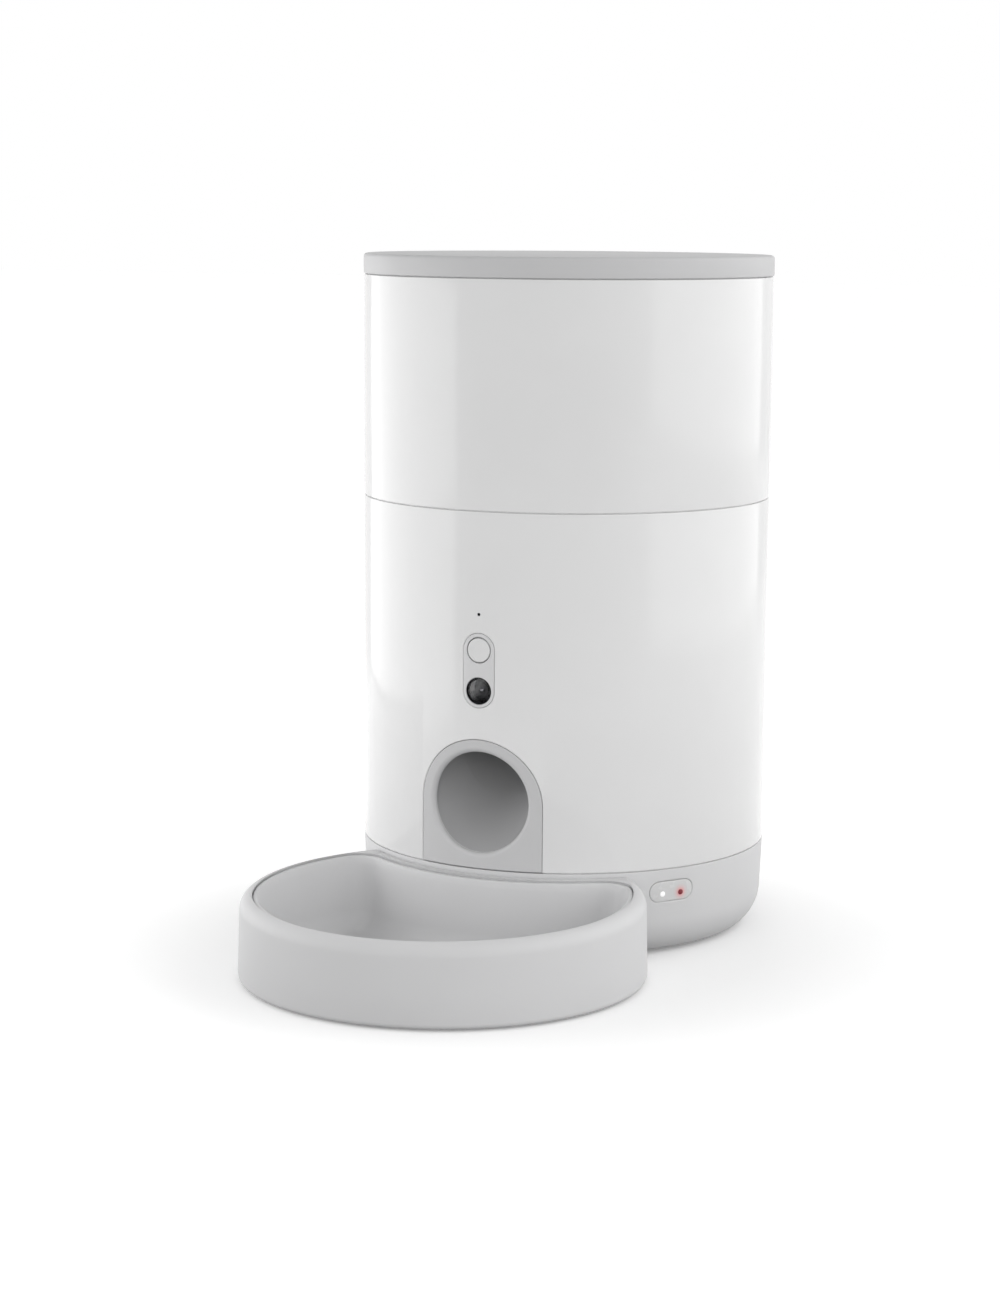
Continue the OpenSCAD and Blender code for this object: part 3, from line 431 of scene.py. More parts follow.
def block(name, low, high, bevel=0.0):
    """A box between two corners, with its edges bevelled."""
    start_clean()
    middle = in_frame([(a + b) / 2 for a, b in zip(low, high)])
    bpy.ops.mesh.primitive_cube_add(size=1, location=middle)
    piece = named(name)
    piece.scale = [(b - a) * MM for a, b in zip(low, high)]
    bpy.ops.object.transform_apply(location=True, rotation=True, scale=True)
    if bevel:
        bpy.ops.object.mode_set(mode="EDIT")
        bpy.ops.mesh.select_all(action="SELECT")
        bpy.ops.mesh.bevel(offset=bevel * MM, segments=3, affect="EDGES")
        bpy.ops.object.mode_set(mode="OBJECT")
    return piece


def joined(name, pieces):
    """Several pieces as one object."""
    choose(*pieces)
    if len(pieces) > 1:
        bpy.ops.object.join()
    return named(name)


def combine(piece, other, operation):
    """Cuts another piece out of this one, or welds it on, and drops it."""
    choose(piece)
    step = piece.modifiers.new("combine", "BOOLEAN")
    step.operation = operation
    step.solver = "EXACT"
    step.object = other
    before = len(piece.data.polygons)
    bpy.ops.object.modifier_apply(modifier=step.name)
    if len(piece.data.polygons) in (0, before):
        raise RuntimeError(f"{piece.name} and {other.name} didn't combine")
    drop(other)
    return piece


def moved(piece, shift=(0, 0, 0), turned=0.0):
    """Moves a piece, and then turns it round the body's axis."""
    choose(piece)
    bpy.ops.transform.translate(value=[s * MM for s in shift])
    bpy.ops.object.transform_apply(location=True, rotation=True, scale=True)
    axis = Matrix.Translation(in_frame((0, 0, 0)))
    piece.data.transform(axis @ Matrix.Rotation(math.radians(turned), 4, "Z") @ axis.inverted())
    return piece


def spread(name, piece, places):
    """Copies of a piece, each moved and turned to its place (shift, turn), joined as one."""
    copies = []
    for shift, turned in places:
        choose(piece)
        bpy.ops.object.duplicate(linked=False)
        copies.append(moved(named(f"{name}_{len(copies)}"), shift, turned))
    drop(piece)
    return joined(name, copies)


def settle(piece, body, slot, look, *nodes, angle=32):
    """Finishes a piece: shading, finish, the body it rides on and the nodes it stands for."""
    choose(piece)
    bpy.ops.object.transform_apply(location=True, rotation=True, scale=True)
    bpy.ops.object.shade_smooth_by_angle(angle=math.radians(angle))
    piece.data.materials.clear()
    piece.data.materials.append(finish(look))
    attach(piece, body)
    if nodes:
        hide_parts(*nodes)
    piece.select_set(False)


# Outlines on the curved shells

def swung(x, y, z, turned):
    """A point turned round the body's axis by degrees."""
    c = math.cos(math.radians(turned))
    s = math.sin(math.radians(turned))
    return (c * x - s * y, s * x + c * y, z)


def on_shell(x, z, depth, radius=BODY_R, turned=0.0):
    """A point that far below a round shell, seen from the front and turned round the axis."""
    r = radius - depth
    return swung(x, -math.sqrt(r * r - x * x), z, turned)


def base_radius(z):
    """Outside radius of the base's tapered side."""
    return BODY_R - BASE_DRAFT * (BASE_TOP - z) / (BASE_TOP - BASE_SIDE_Z)


def shell_row(outline, middle_z, depth, taper=False, turned=0.0):
    """An outline laid on the body's shell, or on the base's tapered side."""
    row = []
    for x, z in outline:
        radius = base_radius(middle_z + z) if taper else BODY_R
        row.append(on_shell(x, middle_z + z, depth, radius, turned))
    return row


def flared_cut(name, outline, size, middle_z, edge, depth, gap=0.0, taper=False, turned=0.0):
    """A cutter through a round shell, wider by an edge where it leaves it, with a flat front."""
    steps = ((edge + gap + 1, -1), (gap, edge), (gap, depth))
    front = outline(size + steps[0][0])
    rows = [[swung(x, -BODY_R - CUT_REACH, middle_z + z, turned) for x, z in front]]
    for out, below in steps:
        rows.append(shell_row(outline(size + out), middle_z, below, taper, turned))
    return loft(name, rows)


def surface_plate(name, outline, middle_z, half, edge, back, sunk, steps=8, taper=False, turned=0.0):
    """A plate that lies in a round shell: a rounded edge, a curved face and a flat back."""
    levels = [(0, back), *reversed(quarter(edge, 4))]
    levels += [(edge + (half - edge) * k / steps, 0) for k in range(1, steps)]
    levels.append((half - 0.02, 0))
    rows = [shell_row(outline(half - inset), middle_z, depth + sunk, taper, turned)
            for inset, depth in levels]
    return loft(name, rows)


def base_foot(inset, low):
    """Section of the base's curved foot, from a height up to the straight side."""
    middle = base_radius(BASE_SIDE_Z) - BASE_CURVE
    curve = BASE_CURVE - inset
    start = math.asin((BASE_SIDE_Z - low) / curve)
    steps = 16
    turns = [start * (1 - k / steps) for k in range(steps + 1)]
    return [(middle + curve * math.cos(t), BASE_SIDE_Z - curve * math.sin(t), 0) for t in turns]


def circle(r, count=96):
    """Outline of a circle."""
    turns = [2 * math.pi * k / count for k in range(count)]
    return [(r * math.cos(a), r * math.sin(a)) for a in turns]


def oblong(half, reach, upright=True, count=96):
    """Outline with round ends: half its width, and half the straight length."""
    points = []
    for k in range(count):
        a = 2 * math.pi * (k + 0.5) / count
        across = half * math.cos(a)
        along = half * math.sin(a) + math.copysign(reach, math.sin(a))
        points.append((across, along) if upright else (along, -across))
    return points


def panel_outline(half):
    """Outline of the oblong panel."""
    return oblong(half, PANEL_REACH)


def window_outline(half):
    """Outline of the indicator window."""
    return oblong(half, WINDOW_REACH, upright=False)


def arch(half, count=64):
    """Outline of the arch, from its lower right corner round to its lower left one and back."""
    low = BASE_TOP - 2
    points = [(half, low), (half, (low + ARCH_Z) / 2)]
    for k in range(count + 1):
        a = math.pi * k / count
        points.append((half * math.cos(a), ARCH_Z + half * math.sin(a)))
    points += [(-half, (low + ARCH_Z) / 2), (-half, low)]
    points += [(half * t, low) for t in (-0.6, -0.2, 0.2, 0.6)]
    return points


def arch_reach(a, half, low):
    """Distance from the outlet's middle to the arch in a direction."""
    rise = OUTLET_Z - ARCH_Z
    c = math.cos(a)
    s = math.sin(a)
    round_t = -s * rise + math.sqrt(half * half - rise * rise * c * c)
    if round_t * s >= -rise:
        return round_t
    side_t = half / max(abs(c), 1e-9)
    if side_t * s >= low - OUTLET_Z:
        return side_t
    return (low - OUTLET_Z) / s


def slide_section(angles, grow):
    """The slide's section behind its mouth: an ellipse under a flat roof."""
    wide = SLIDE_R + grow
    tall = wide / math.cos(SLIDE_TILT)
    middle = SLIDE_Z + (MOUTH_Y - SLIDE_Y) * math.tan(SLIDE_TILT)
    centre = SLIDE_ROOF - SLIDE_R * 0.75
    off = (centre - middle) / tall
    points = []
    for a in angles:
        across = math.cos(a) / wide
        along = math.sin(a) / tall
        square = across ** 2 + along ** 2
        reach = (math.sqrt((along * off) ** 2 - square * (off ** 2 - 1)) - along * off) / square
        if reach * math.sin(a) > SLIDE_ROOF + grow - centre:
            reach = (SLIDE_ROOF + grow - centre) / math.sin(a)
        points.append((reach * math.cos(a), MOUTH_Y, centre + reach * math.sin(a)))
    return points


def outlet_point(a, away, depth):
    """A point of the outlet's panel, in a direction from the outlet's middle."""
    return on_shell(away * math.cos(a), OUTLET_Z + away * math.sin(a), depth)


def outlet_throat(angles, grow, lip, part):
    """A row part of the way from the outlet's rounded edge to the panel's back, rising as the slide does."""
    row = []
    for a in angles:
        edge = outlet_point(a, MOUTH_R + grow, lip)
        x, y, z = outlet_point(a, MOUTH_R + grow, lip + (OUTLET_BACK - lip) * part)
        row.append((x, y, z + (y - edge[1]) * math.tan(SLIDE_TILT)))
    return row


def eased(near, far, steps=6):
    """Rows that pass evenly from one loop of points to another."""
    return [[Vector(a).lerp(Vector(b), k / steps) for a, b in zip(near, far)] for k in range(steps + 1)]


def quarter(size, steps):
    """Steps along a quarter round: (distance in from the edge, depth below the face)."""
    turns = [math.pi / 2 * k / steps for k in range(steps + 1)]
    return [(size * (1 - math.sin(t)), size * (1 - math.cos(t))) for t in turns]


def tab_block(name, side, gap, front, back, bevel):
    """One of the bowl's two docking tabs, or the slot that takes it with a gap all round."""
    wide = TAB_W / 2 + gap
    tall = TAB_H / 2 + gap
    middle = side * TAB_X
    return block(name, (middle - wide, front, TAB_Z - tall), (middle + wide, back, TAB_Z + tall), bevel)


# Finishes

def wired(node, values):
    """Sets a node's inputs, by name or number: a socket is linked, and a value is written."""
    for key, value in values.items():
        if isinstance(value, bpy.types.NodeSocket):
            node.id_data.links.new(value, node.inputs[key])
        else:
            node.inputs[key].default_value = value
    return node


def added(near, kind, values, operation=None):
    """A new node in the tree of another node or socket, with its inputs set."""
    node = near.id_data.nodes.new(kind)
    if operation:
        node.operation = operation
    return wired(node, values)


def worked_out(operation, first, second):
    """Two sockets put together by arithmetic."""
    return added(first, "ShaderNodeMath", {0: first, 1: second}, operation).outputs["Value"]


def measured(operation, place, *other):
    """A number worked out from a place, or from a place and a vector."""
    values = dict(enumerate((place, *other)))
    return added(place, "ShaderNodeVectorMath", values, operation).outputs["Value"]


def new_finish(name):
    """A node material with its shader and Object coordinates."""
    material = bpy.data.materials.new(name)
    material.use_nodes = True
    shader = material.node_tree.nodes["Principled BSDF"]
    return material, shader, added(shader, "ShaderNodeTexCoord", {}).outputs["Object"]


def noise(place, size_mm, detail=2.0):
    """Noise whose grains are about that many millimetres."""
    values = {"Vector": place, "Scale": 1 / (size_mm * MM), "Detail": detail}
    return added(place, "ShaderNodeTexNoise", values).outputs["Fac"]


def blended(factor, stops):
    """A colour ramp over a factor; stops are (position, colour)."""
    ramp = added(factor, "ShaderNodeValToRGB", {"Fac": factor})
    elements = ramp.color_ramp.elements
    while len(elements) < len(stops):
        elements.new(0.5)
    for element, (position, tint) in zip(elements, stops):
        element.position = position
        element.color = (*tint, 1.0)
    return ramp.outputs["Color"]


def ranged(factor, low, high, start=0.3, end=0.7):
    """A factor mapped to a range; the middle of a noise by default."""
    values = {"Value": factor, "From Min": start, "From Max": end, "To Min": low, "To Max": high}
    return added(factor, "ShaderNodeMapRange", values).outputs["Result"]


def grained(factor, depth_mm):
    """A normal with bumps of that depth."""
    values = {"Height": factor, "Strength": 1.0, "Distance": depth_mm * MM}
    return added(factor, "ShaderNodeBump", values).outputs["Normal"]


def shade_of(tint, factor):
    """A colour made lighter or darker."""
    return tuple(min(1.0, c * factor) for c in tint)


def toned(factor, tint, dark, light):
    """A colour that drifts from a darker to a lighter shade of itself over a noise."""
    return blended(factor, [(0.3, shade_of(tint, dark)), (0.7, shade_of(tint, light))])


def moulded(name, tint, roughness, grain_mm, depth_mm, swing=0.03, level=0.5):
    """Moulded plastic: a fine grain, slow changes of tone and uneven gloss."""
    material, shader, place = new_finish(name)
    wired(shader, {
        "Base Color": toned(noise(place, 60, 3.0), tint, 0.985, 1.015),
        "Roughness": ranged(noise(place, 14, 4.0), roughness - swing, roughness + swing),
        "Specular IOR Level": level,
        "Normal": grained(noise(place, grain_mm), depth_mm)})
    return material


def brushed(name, tint, roughness, stretch):
    """Metal with fine lines along one direction."""
    material, shader, place = new_finish(name)
    drawn = added(place, "ShaderNodeMapping", {"Vector": place, "Scale": stretch}).outputs["Vector"]
    lines = noise(drawn, 1.2, 3.0)
    wired(shader, {
        "Base Color": toned(lines, tint, 0.85, 1.1),
        "Roughness": ranged(lines, roughness - 0.06, roughness + 0.08),
        "Metallic": 1.0,
        "Normal": grained(lines, 0.01)})
    return material


def soft_rubber(name, tint, roughness, through):
    """Rubber or silicone: a powdery grain and some light through it."""
    material, shader, place = new_finish(name)
    dust = noise(place, 3.5, 5.0)
    wired(shader, {
        "Base Color": blended(dust, [(0.35, tint), (0.75, shade_of(tint, 1.25))]),
        "Roughness": ranged(dust, roughness - 0.08, roughness + 0.06),
        "Subsurface Weight": through,
        "Subsurface Radius": (0.002, 0.002, 0.002),
        "Normal": grained(noise(place, 0.6), 0.02)})
    return material


def circuit_board(name, tint):
    """Solder mask with copper tracks under it and bright pads."""
    material, shader, place = new_finish(name)
    upright = {"Vector": place, "Rotation": (math.radians(90), 0, 0)}
    turned = added(place, "ShaderNodeMapping", upright).outputs["Vector"]
    tracks = added(turned, "ShaderNodeTexBrick", {
        "Vector": turned, "Scale": 260.0, "Mortar Size": 0.06, "Color1": (*tint, 1.0),
        "Color2": (*shade_of(tint, 0.8), 1.0), "Mortar": (*shade_of(tint, 1.9), 1.0)})
    pads = added(turned, "ShaderNodeTexVoronoi", {"Vector": turned, "Scale": 420.0, "Randomness": 0.35})
    spot = ranged(pads.outputs["Distance"], 1.0, 0.0, 0.16, 0.2)
    mix = added(turned, "ShaderNodeMix", {})
    mix.data_type = "RGBA"
    wired(mix, {"Factor": spot, "A": tracks.outputs["Color"], "B": (0.55, 0.5, 0.38, 1.0)})
    wired(shader, {
        "Base Color": mix.outputs["Result"],
        "Metallic": spot,
        "Roughness": 0.35,
        "Normal": grained(tracks.outputs["Fac"], 0.03)})
    return material


def cell_jacket(name):
    """A plain jacket in two tones, split across the cell's length."""
    material, shader, place = new_finish(name)
    along = added(place, "ShaderNodeSeparateXYZ", {"Vector": place}).outputs["Y"]
    split = ranged(along, 0.0, 1.0, 0.084, 0.0842)
    scuffs = noise(place, 5, 5.0)
    wired(shader, {
        "Base Color": blended(split, [(0.0, (0.09, 0.16, 0.2)), (1.0, (0.6, 0.6, 0.58))]),
        "Metallic": 0.6,
        "Roughness": ranged(scuffs, 0.26, 0.42),
        "Normal": grained(scuffs, 0.01)})
    return material


def coated_glass(name, tint, through, bend, level):
    """Lens glass whose tint deepens towards its edge, with a clear coat on the eye's upper left only: a
    painted reflection that fades out towards the lower right.
    """
    material, shader, place = new_finish(name)
    facing = added(shader, "ShaderNodeLayerWeight", {"Blend": 0.4}).outputs["Facing"]
    across = measured("DOT_PRODUCT", place, (-0.8, 0, 0.6))
    middle = 0.6 * LENS_Z * MM
    painted_reflection_edge = 1.5 * MM
    wired(shader, {
        "Base Color": blended(facing, [(0.0, tint), (0.9, shade_of(tint, 0.3))]),
        "Roughness": ranged(noise(place, 1.5, 3.0), 0.02, 0.05),
        # The coat covers only the upper left of the eye, with a soft edge: a painted reflection of the lamp
        # on the left.
        "Coat Weight": ranged(across, 0.0, 1.0, middle - painted_reflection_edge, middle + painted_reflection_edge),
        "Coat IOR": 1.5,
        "Transmission Weight": through,
        "IOR": bend,
        "Specular IOR Level": level})
    return material


def lit_guide(name, tint, strength):
    """A light guide with a slightly cloudy glow."""
    material, shader, place = new_finish(name)
    glow = toned(noise(place, 0.8), tint, 0.85, 1.0)
    wired(shader, {
        "Base Color": glow,
        "Emission Color": glow,
        "Emission Strength": strength,
        "Roughness": 0.15})
    return material


def window_finish(name, tint, glow, spot):
    """Milky window plastic, with a red glow painted into its colour round the lit indicator."""
    material, shader, place = new_finish(name)
    # Pink to red near the red light guide: painted light from the lit indicator, laid into the base colour.
    near = ranged(measured("DISTANCE", place, spot), 0.0, 1.0, 0.0012, 0.0042)
    painted_glow_fringe = tuple((a + 3 * b) / 4 for a, b in zip(glow, tint))
    wired(shader, {
        "Base Color": blended(near, [(0.0, glow), (0.45, painted_glow_fringe), (1.0, tint)]),
        "Roughness": ranged(noise(place, 6, 3.0), 0.2, 0.3),
        "Subsurface Weight": 0.2,
        "Subsurface Radius": (0.002, 0.002, 0.002),
        "Normal": grained(noise(place, 1.0), 0.003)})
    return material


def finish(name):
    """One of the feeder's finishes, made the first time that it is asked for."""
    if name in bpy.data.materials:
        return bpy.data.materials[name]
    tints = bpy.context.scene.feeder_colours
    light = in_frame(on_shell(LIGHT_X, LIGHT_Z, 0.0, base_radius(LIGHT_Z), WINDOW_TURN))
    makers = {
        "gloss_white": lambda: moulded(name, tints.white_shell, 0.14, 2.6, 0.004, 0.02),
        "satin_grey": lambda: moulded(name, tints.grey_shell, 0.5, 0.5, 0.012, 0.04, 0.35),
        # The grey shell's plastic made darker: painted shade on the lid and the outlet panel.
        "satin_shaded_grey": lambda: moulded(name, tints.shaded_top_grey, 0.5, 0.5, 0.012, 0.04, 0.35),
        "slide_grey": lambda: moulded(name, tints.slide_grey, 0.55, 0.5, 0.012, 0.04, 0.3),
        "eye_black": lambda: moulded(name, tints.black_plastic, 0.35, 0.5, 0.005, 0.05, 0.08),
        "panel_satin": lambda: moulded(name, tints.panel_grey, 0.42, 0.6, 0.01),
        "button_satin": lambda: moulded(name, tints.button_white, 0.34, 0.8, 0.006),
        "inner_plastic": lambda: moulded(name, tints.inner_grey, 0.5, 0.7, 0.02, 0.05),
        "black_plastic": lambda: moulded(name, tints.black_plastic, 0.4, 0.5, 0.01, 0.06),
        "silicone": lambda: soft_rubber(name, tints.silicone, 0.5, 0.3),
        "foot_rubber": lambda: soft_rubber(name, tints.foot_rubber, 0.8, 0.0),
        "plated_steel": lambda: brushed(name, tints.steel, 0.3, (1.0, 1.0, 0.15)),
        "motor_plate": lambda: brushed(name, (0.42, 0.42, 0.44), 0.34, (0.1, 0.1, 1.0)),
        "cast_case": lambda: brushed(name, (0.5, 0.5, 0.52), 0.45, (1.0, 1.0, 1.0)),
        "board": lambda: circuit_board(name, tints.board_green),
        "cell_jacket": lambda: cell_jacket(name),
        "dome_glass": lambda: coated_glass(name, (0.75, 0.75, 0.77), 1.0, 1.15, 0.5),
        "lens_glass": lambda: coated_glass(name, (0.02, 0.02, 0.03), 0.0, 2.0, 1.0),
        "white_guide": lambda: lit_guide(name, (0.95, 0.95, 0.95), 0.35),
        "red_guide": lambda: lit_guide(name, tints.red_light, 0.1),
        "window_milk": lambda: window_finish(name, (0.7, 0.7, 0.7), (0.86, 0.4, 0.4), light),
    }
    return makers[name]()


# Pieces

class FEEDER_OT_lid(bpy.types.Operator):
    """Model the lid with its plug, seal groove, desiccant socket and ribs"""
    bl_idname = "feeder.model_lid"
    bl_label = "Lid"

    def execute(self, context):
        sizes = context.scene.feeder_sizes
        under = LID_TOP - WALL
        weld = under + 0.6
        plug_in = PLUG_R - WALL
        seam_top = HOPPER_TOP + SEAM
        lid = spun("lid", [
            (0, under, 0), (plug_in, under, 1.0), (plug_in, PLUG_LOW, 0.6), (PLUG_R, PLUG_LOW, 0.8),
            (PLUG_R, SEAL_LOW, 0.15), (SEAL_R, SEAL_LOW, 0), (SEAL_R, SEAL_TOP, 0), (PLUG_R, SEAL_TOP, 0.15),
            (PLUG_R, HOPPER_TOP, 0), (SEAM_R, HOPPER_TOP, 0.1), (SEAM_R, seam_top, 0.1),
            (LID_R, seam_top, sizes.seam_round / MM), (LID_R, LID_TOP, sizes.lid_round / MM),
            (0, LID_TOP, 0)])
        socket = spun("lid_socket", [
            (SOCKET_R, SOCKET_LOW, 0.3), (SOCKET_OUT, SOCKET_LOW, 0.5), (SOCKET_OUT, weld, 0),
            (SOCKET_R, weld, 0)], steps=144)
        rib = block("lid_rib", (SOCKET_R + 1.5, -RIB_T / 2, under - RIB_H),
                    (plug_in + 0.7, RIB_T / 2, weld), 0.3)
        turns = [(i + 0.5) * 360 / RIB_COUNT for i in range(RIB_COUNT)]
        ribs = spread("lid_ribs", rib, [((0, 0, 0), turned) for turned in turns])
        combine(lid, socket, "UNION")
        combine(lid, ribs, "UNION")
        settle(lid, "lid", "grey_shell", "satin_shaded_grey", "lid_cover")
        return {"FINISHED"}


class FEEDER_OT_hopper(bpy.types.Operator):
    """Model the hopper with its spigot, funnel, chamber and flange"""
    bl_idname = "feeder.model_hopper"
    bl_label = "Hopper"

    def execute(self, context):
        seam = context.scene.feeder_sizes.seam_round / MM
        seam_top = HOPPER_SEAM + SEAM
        slope = (FUNNEL_TOP - LEDGE_Z) / (SPIGOT_IN - FUNNEL_R)
        under = LEDGE_Z - WALL * math.hypot(1, slope)
        hopper = spun("hopper", [
            (CHAMBER_R, FLANGE_LOW, 0.3), (FLANGE_R, FLANGE_LOW, 0.5), (FLANGE_R, CHAMBER_FLOOR, 0.5),
            (FUNNEL_R, CHAMBER_FLOOR, 0.8), (FUNNEL_R, under, 1.5),
            (PLUG_R, under + (PLUG_R - FUNNEL_R) * slope, 1.5), (PLUG_R, HOPPER_SEAM, 0.1),
            (SEAM_R, HOPPER_SEAM, 0.1), (SEAM_R, seam_top, 0.1), (BODY_R, seam_top, seam),
            (BODY_R, HOPPER_TOP, seam), (BODY_IN, HOPPER_TOP, 0.6),
            (BODY_IN, HOPPER_SEAM + 3 * WALL, 1.5), (SPIGOT_IN, HOPPER_SEAM + WALL, 1.5),
            (SPIGOT_IN, FUNNEL_TOP, 3), (FUNNEL_R, LEDGE_Z, 0.8), (CHAMBER_R, LEDGE_Z, 0.5)])
        settle(hopper, "hopper", "white_shell", "gloss_white", "food_hopper")
        return {"FINISHED"}


class FEEDER_OT_body(bpy.types.Operator):
    """Model the body's shell with its cut-outs and screw posts, and the microphone's screen"""
    bl_idname = "feeder.model_body"
    bl_label = "Body shell"

    def execute(self, context):
        sizes = context.scene.feeder_sizes
        seam = sizes.seam_round / MM
        edge = sizes.panel_round / MM
        seam_top = BASE_TOP + SEAM
        through = 12
        shell = spun("body", [
            (BODY_IN, BASE_TOP, 0.2), (SEAM_R, BASE_TOP, 0.1), (SEAM_R, seam_top, 0.1),
            (BODY_R, seam_top, seam), (BODY_R, HOPPER_SEAM, seam), (BODY_IN, HOPPER_SEAM, 0.5)])
        combine(shell, joined("bosses", [self.post(angle) for angle in BOSS_ANGLES]), "UNION")
        cutters = [
            flared_cut("arch_cut", arch, ARCH_HALF + 0.08, 0, edge, through, FIT),
            flared_cut("oblong_cut", panel_outline, PANEL_R, PANEL_Z, edge, through, FIT),
            flared_cut("mic_cut", circle, MIC_R, MIC_Z, 0.15, through),
            flared_cut("speaker_cut", circle, SPEAKER_R, SPEAKER_Z, edge, through, FIT, turned=180),
        ]
        combine(shell, joined("body_cuts", cutters), "DIFFERENCE")
        settle(shell, "stand", "white_shell", "gloss_white", "body_shell")
        screen = surface_plate("microphone_screen", lambda r: circle(r, 24), MIC_Z, MIC_R - 0.04,
                               0.1, 2.0, sunk=0.4)
        settle(screen, "stand", "black_matte", "eye_black")
        return {"FINISHED"}

    @staticmethod
    def post(angle):
        """A screw post with the web that ties it to the shell, at an angle from +X."""
        post = spun("boss", [(BOSS_BORE, BOSS_SPLIT, 0), (BOSS_R, BOSS_SPLIT, 0.5),
                             (BOSS_R, DECK_LOW, 0.5), (BOSS_BORE, DECK_LOW, 0)], steps=48)
        web = block("boss_web", (BOSS_RING + BOSS_R - 1, -1.5, BOSS_SPLIT + 0.5),
                    (BODY_IN + 1, 1.5, DECK_LOW - 0.5))
        moved(post, (BOSS_RING, 0, 0), angle)
        moved(web, turned=angle)
        return combine(post, web, "UNION")


class FEEDER_OT_outlet_panel(bpy.types.Operator):
    """Model the arched panel with the food outlet's rounded edge"""
    bl_idname = "feeder.model_outlet_panel"
    bl_label = "Outlet panel"

    def execute(self, context):
        sizes = context.scene.feeder_sizes
        lip = sizes.outlet_round / MM
        edge = sizes.panel_round / MM
        low = BASE_TOP + SEAM
        corner = math.atan2(low - OUTLET_Z, ARCH_HALF)
        half = [-math.pi / 2 + (corner + math.pi / 2) * k / 20 for k in range(20)]
        half += [corner + (math.pi / 2 - corner) * k / 76 for k in range(76)]
        angles = half + [math.pi - a for a in [math.pi / 2] + half[:0:-1]]
        rows = [outlet_throat(angles, 0, lip, part) for part in (1, 0.75, 0.5, 0.25)]
        for inset, depth in reversed(quarter(lip, 8)):
            rows.append([outlet_point(a, MOUTH_R + inset, depth) for a in angles])
        face = [(a, MOUTH_R + lip, arch_reach(a, ARCH_HALF - edge, low + edge)) for a in angles]
        for part in (0.15, 0.35, 0.55, 0.75, 0.9):
            rows.append([outlet_point(a, near + (far - near) * part, 0) for a, near, far in face])
        flange = 3.5
        flange_depth = 2.65
        levels = [(-inset, depth) for inset, depth in quarter(edge, 4)]
        levels += [(0, flange_depth), (flange, flange_depth), (flange, OUTLET_BACK)]
        for grow, depth in levels:
            rows.append([outlet_point(a, arch_reach(a, ARCH_HALF + grow, low + abs(grow)), depth)
                         for a in angles])
        panel = loft("outlet_panel_front", rows, closed=True)
        settle(panel, "stand", "grey_shell", "satin_shaded_grey", "outlet_panel")
        return {"FINISHED"}


class FEEDER_OT_slide(bpy.types.Operator):
    """Model the food slide with a mouth that eases from the outlet's round edge into the slide"""
    bl_idname = "feeder.model_slide"
    bl_label = "Food slide"

    def execute(self, context):
        lip = context.scene.feeder_sizes.outlet_round / MM
        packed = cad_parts["food_chute"]
        slide = block("slide", (-1, -1, 0), (1, 1, 2))
        slide.data = packed.data.copy()
        slide.data.transform(packed.matrix_world)
        tidy_mesh(slide)
        front = block("mouth_cut", (-60, -BODY_R, BASE_TOP - 20), (60, MOUTH_Y, HOPPER_SEAM))
        combine(slide, front, "DIFFERENCE")
        angles = [2 * math.pi * k / 128 for k in range(128)]
        inside = outlet_throat(angles, -SLEEVE_IN, lip, 1)
        outside = outlet_throat(angles, SLIDE_WALL, lip, 1)
        rows = [outlet_throat(angles, -SLEEVE_IN, lip, part) for part in (0.05, 0.5)]
        rows += eased(inside, slide_section(angles, 0))
        rows += reversed(eased(outside, slide_section(angles, SLIDE_WALL)))
        rows += [outlet_throat(angles, -SLEEVE_OUT, lip, part) for part in (1, 0.5, 0.05)]
        mouth = loft("slide_mouth", rows, closed=True)
        settle(joined("food_slide", [slide, mouth]), "stand", "grey_shell", "slide_grey", "food_chute")
        return {"FINISHED"}


class FEEDER_OT_camera_panel(bpy.types.Operator):
    """Model the oblong panel with its openings for the button and the camera"""
    bl_idname = "feeder.model_camera_panel"
    bl_label = "Oblong panel"

    def execute(self, context):
        edge = context.scene.feeder_sizes.panel_round / MM
        plate = surface_plate("oblong_panel", panel_outline, PANEL_Z, PANEL_R, edge, 2.9, INSERT_SUNK)
        holes = ((BUTTON_Z, BUTTON_R + 0.5), (LENS_Z, LENS_R + FIT))
        cuts = [flared_cut("panel_cut", circle, r, middle, 0.25, 8) for middle, r in holes]
        combine(plate, joined("panel_cuts", cuts), "DIFFERENCE")
        settle(plate, "stand", "panel_grey", "panel_satin", "camera_panel")
        return {"FINISHED"}


class FEEDER_OT_feed_button(bpy.types.Operator):
    """Model the feed button with its flange and plunger, a rounded edge and a shallow dish"""
    bl_idname = "feeder.model_feed_button"
    bl_label = "Feed button"

    def execute(self, context):
        dish = context.scene.feeder_sizes.button_dish / MM
        edge = 0.5
        plunger_r = 2
        flange_r = BUTTON_R + 1
        flange_back = BUTTON_FLANGE_Y - 1.2
        steps = 12
        back = ((plunger_r, flange_back - 2), (plunger_r, flange_back), (flange_r, flange_back),
                (flange_r, BUTTON_FLANGE_Y), (BUTTON_R, BUTTON_FLANGE_Y))
        rows = [[(x, -y, BUTTON_Z + z) for x, z in circle(r)] for r, y in back]
        levels = [(BUTTON_R - inset, depth) for inset, depth in reversed(quarter(edge, 5))]
        for k in range(1, steps):
            part = 1 - k / steps
            levels.append(((BUTTON_R - edge) * part, dish * (1 - part ** 2) ** 1.5))
        rows += [shell_row(circle(r), BUTTON_Z, depth) for r, depth in levels]
        button = loft("feed_button_cap", rows)
        settle(button, "button", "button_white", "button_satin", "feed_button")
        return {"FINISHED"}


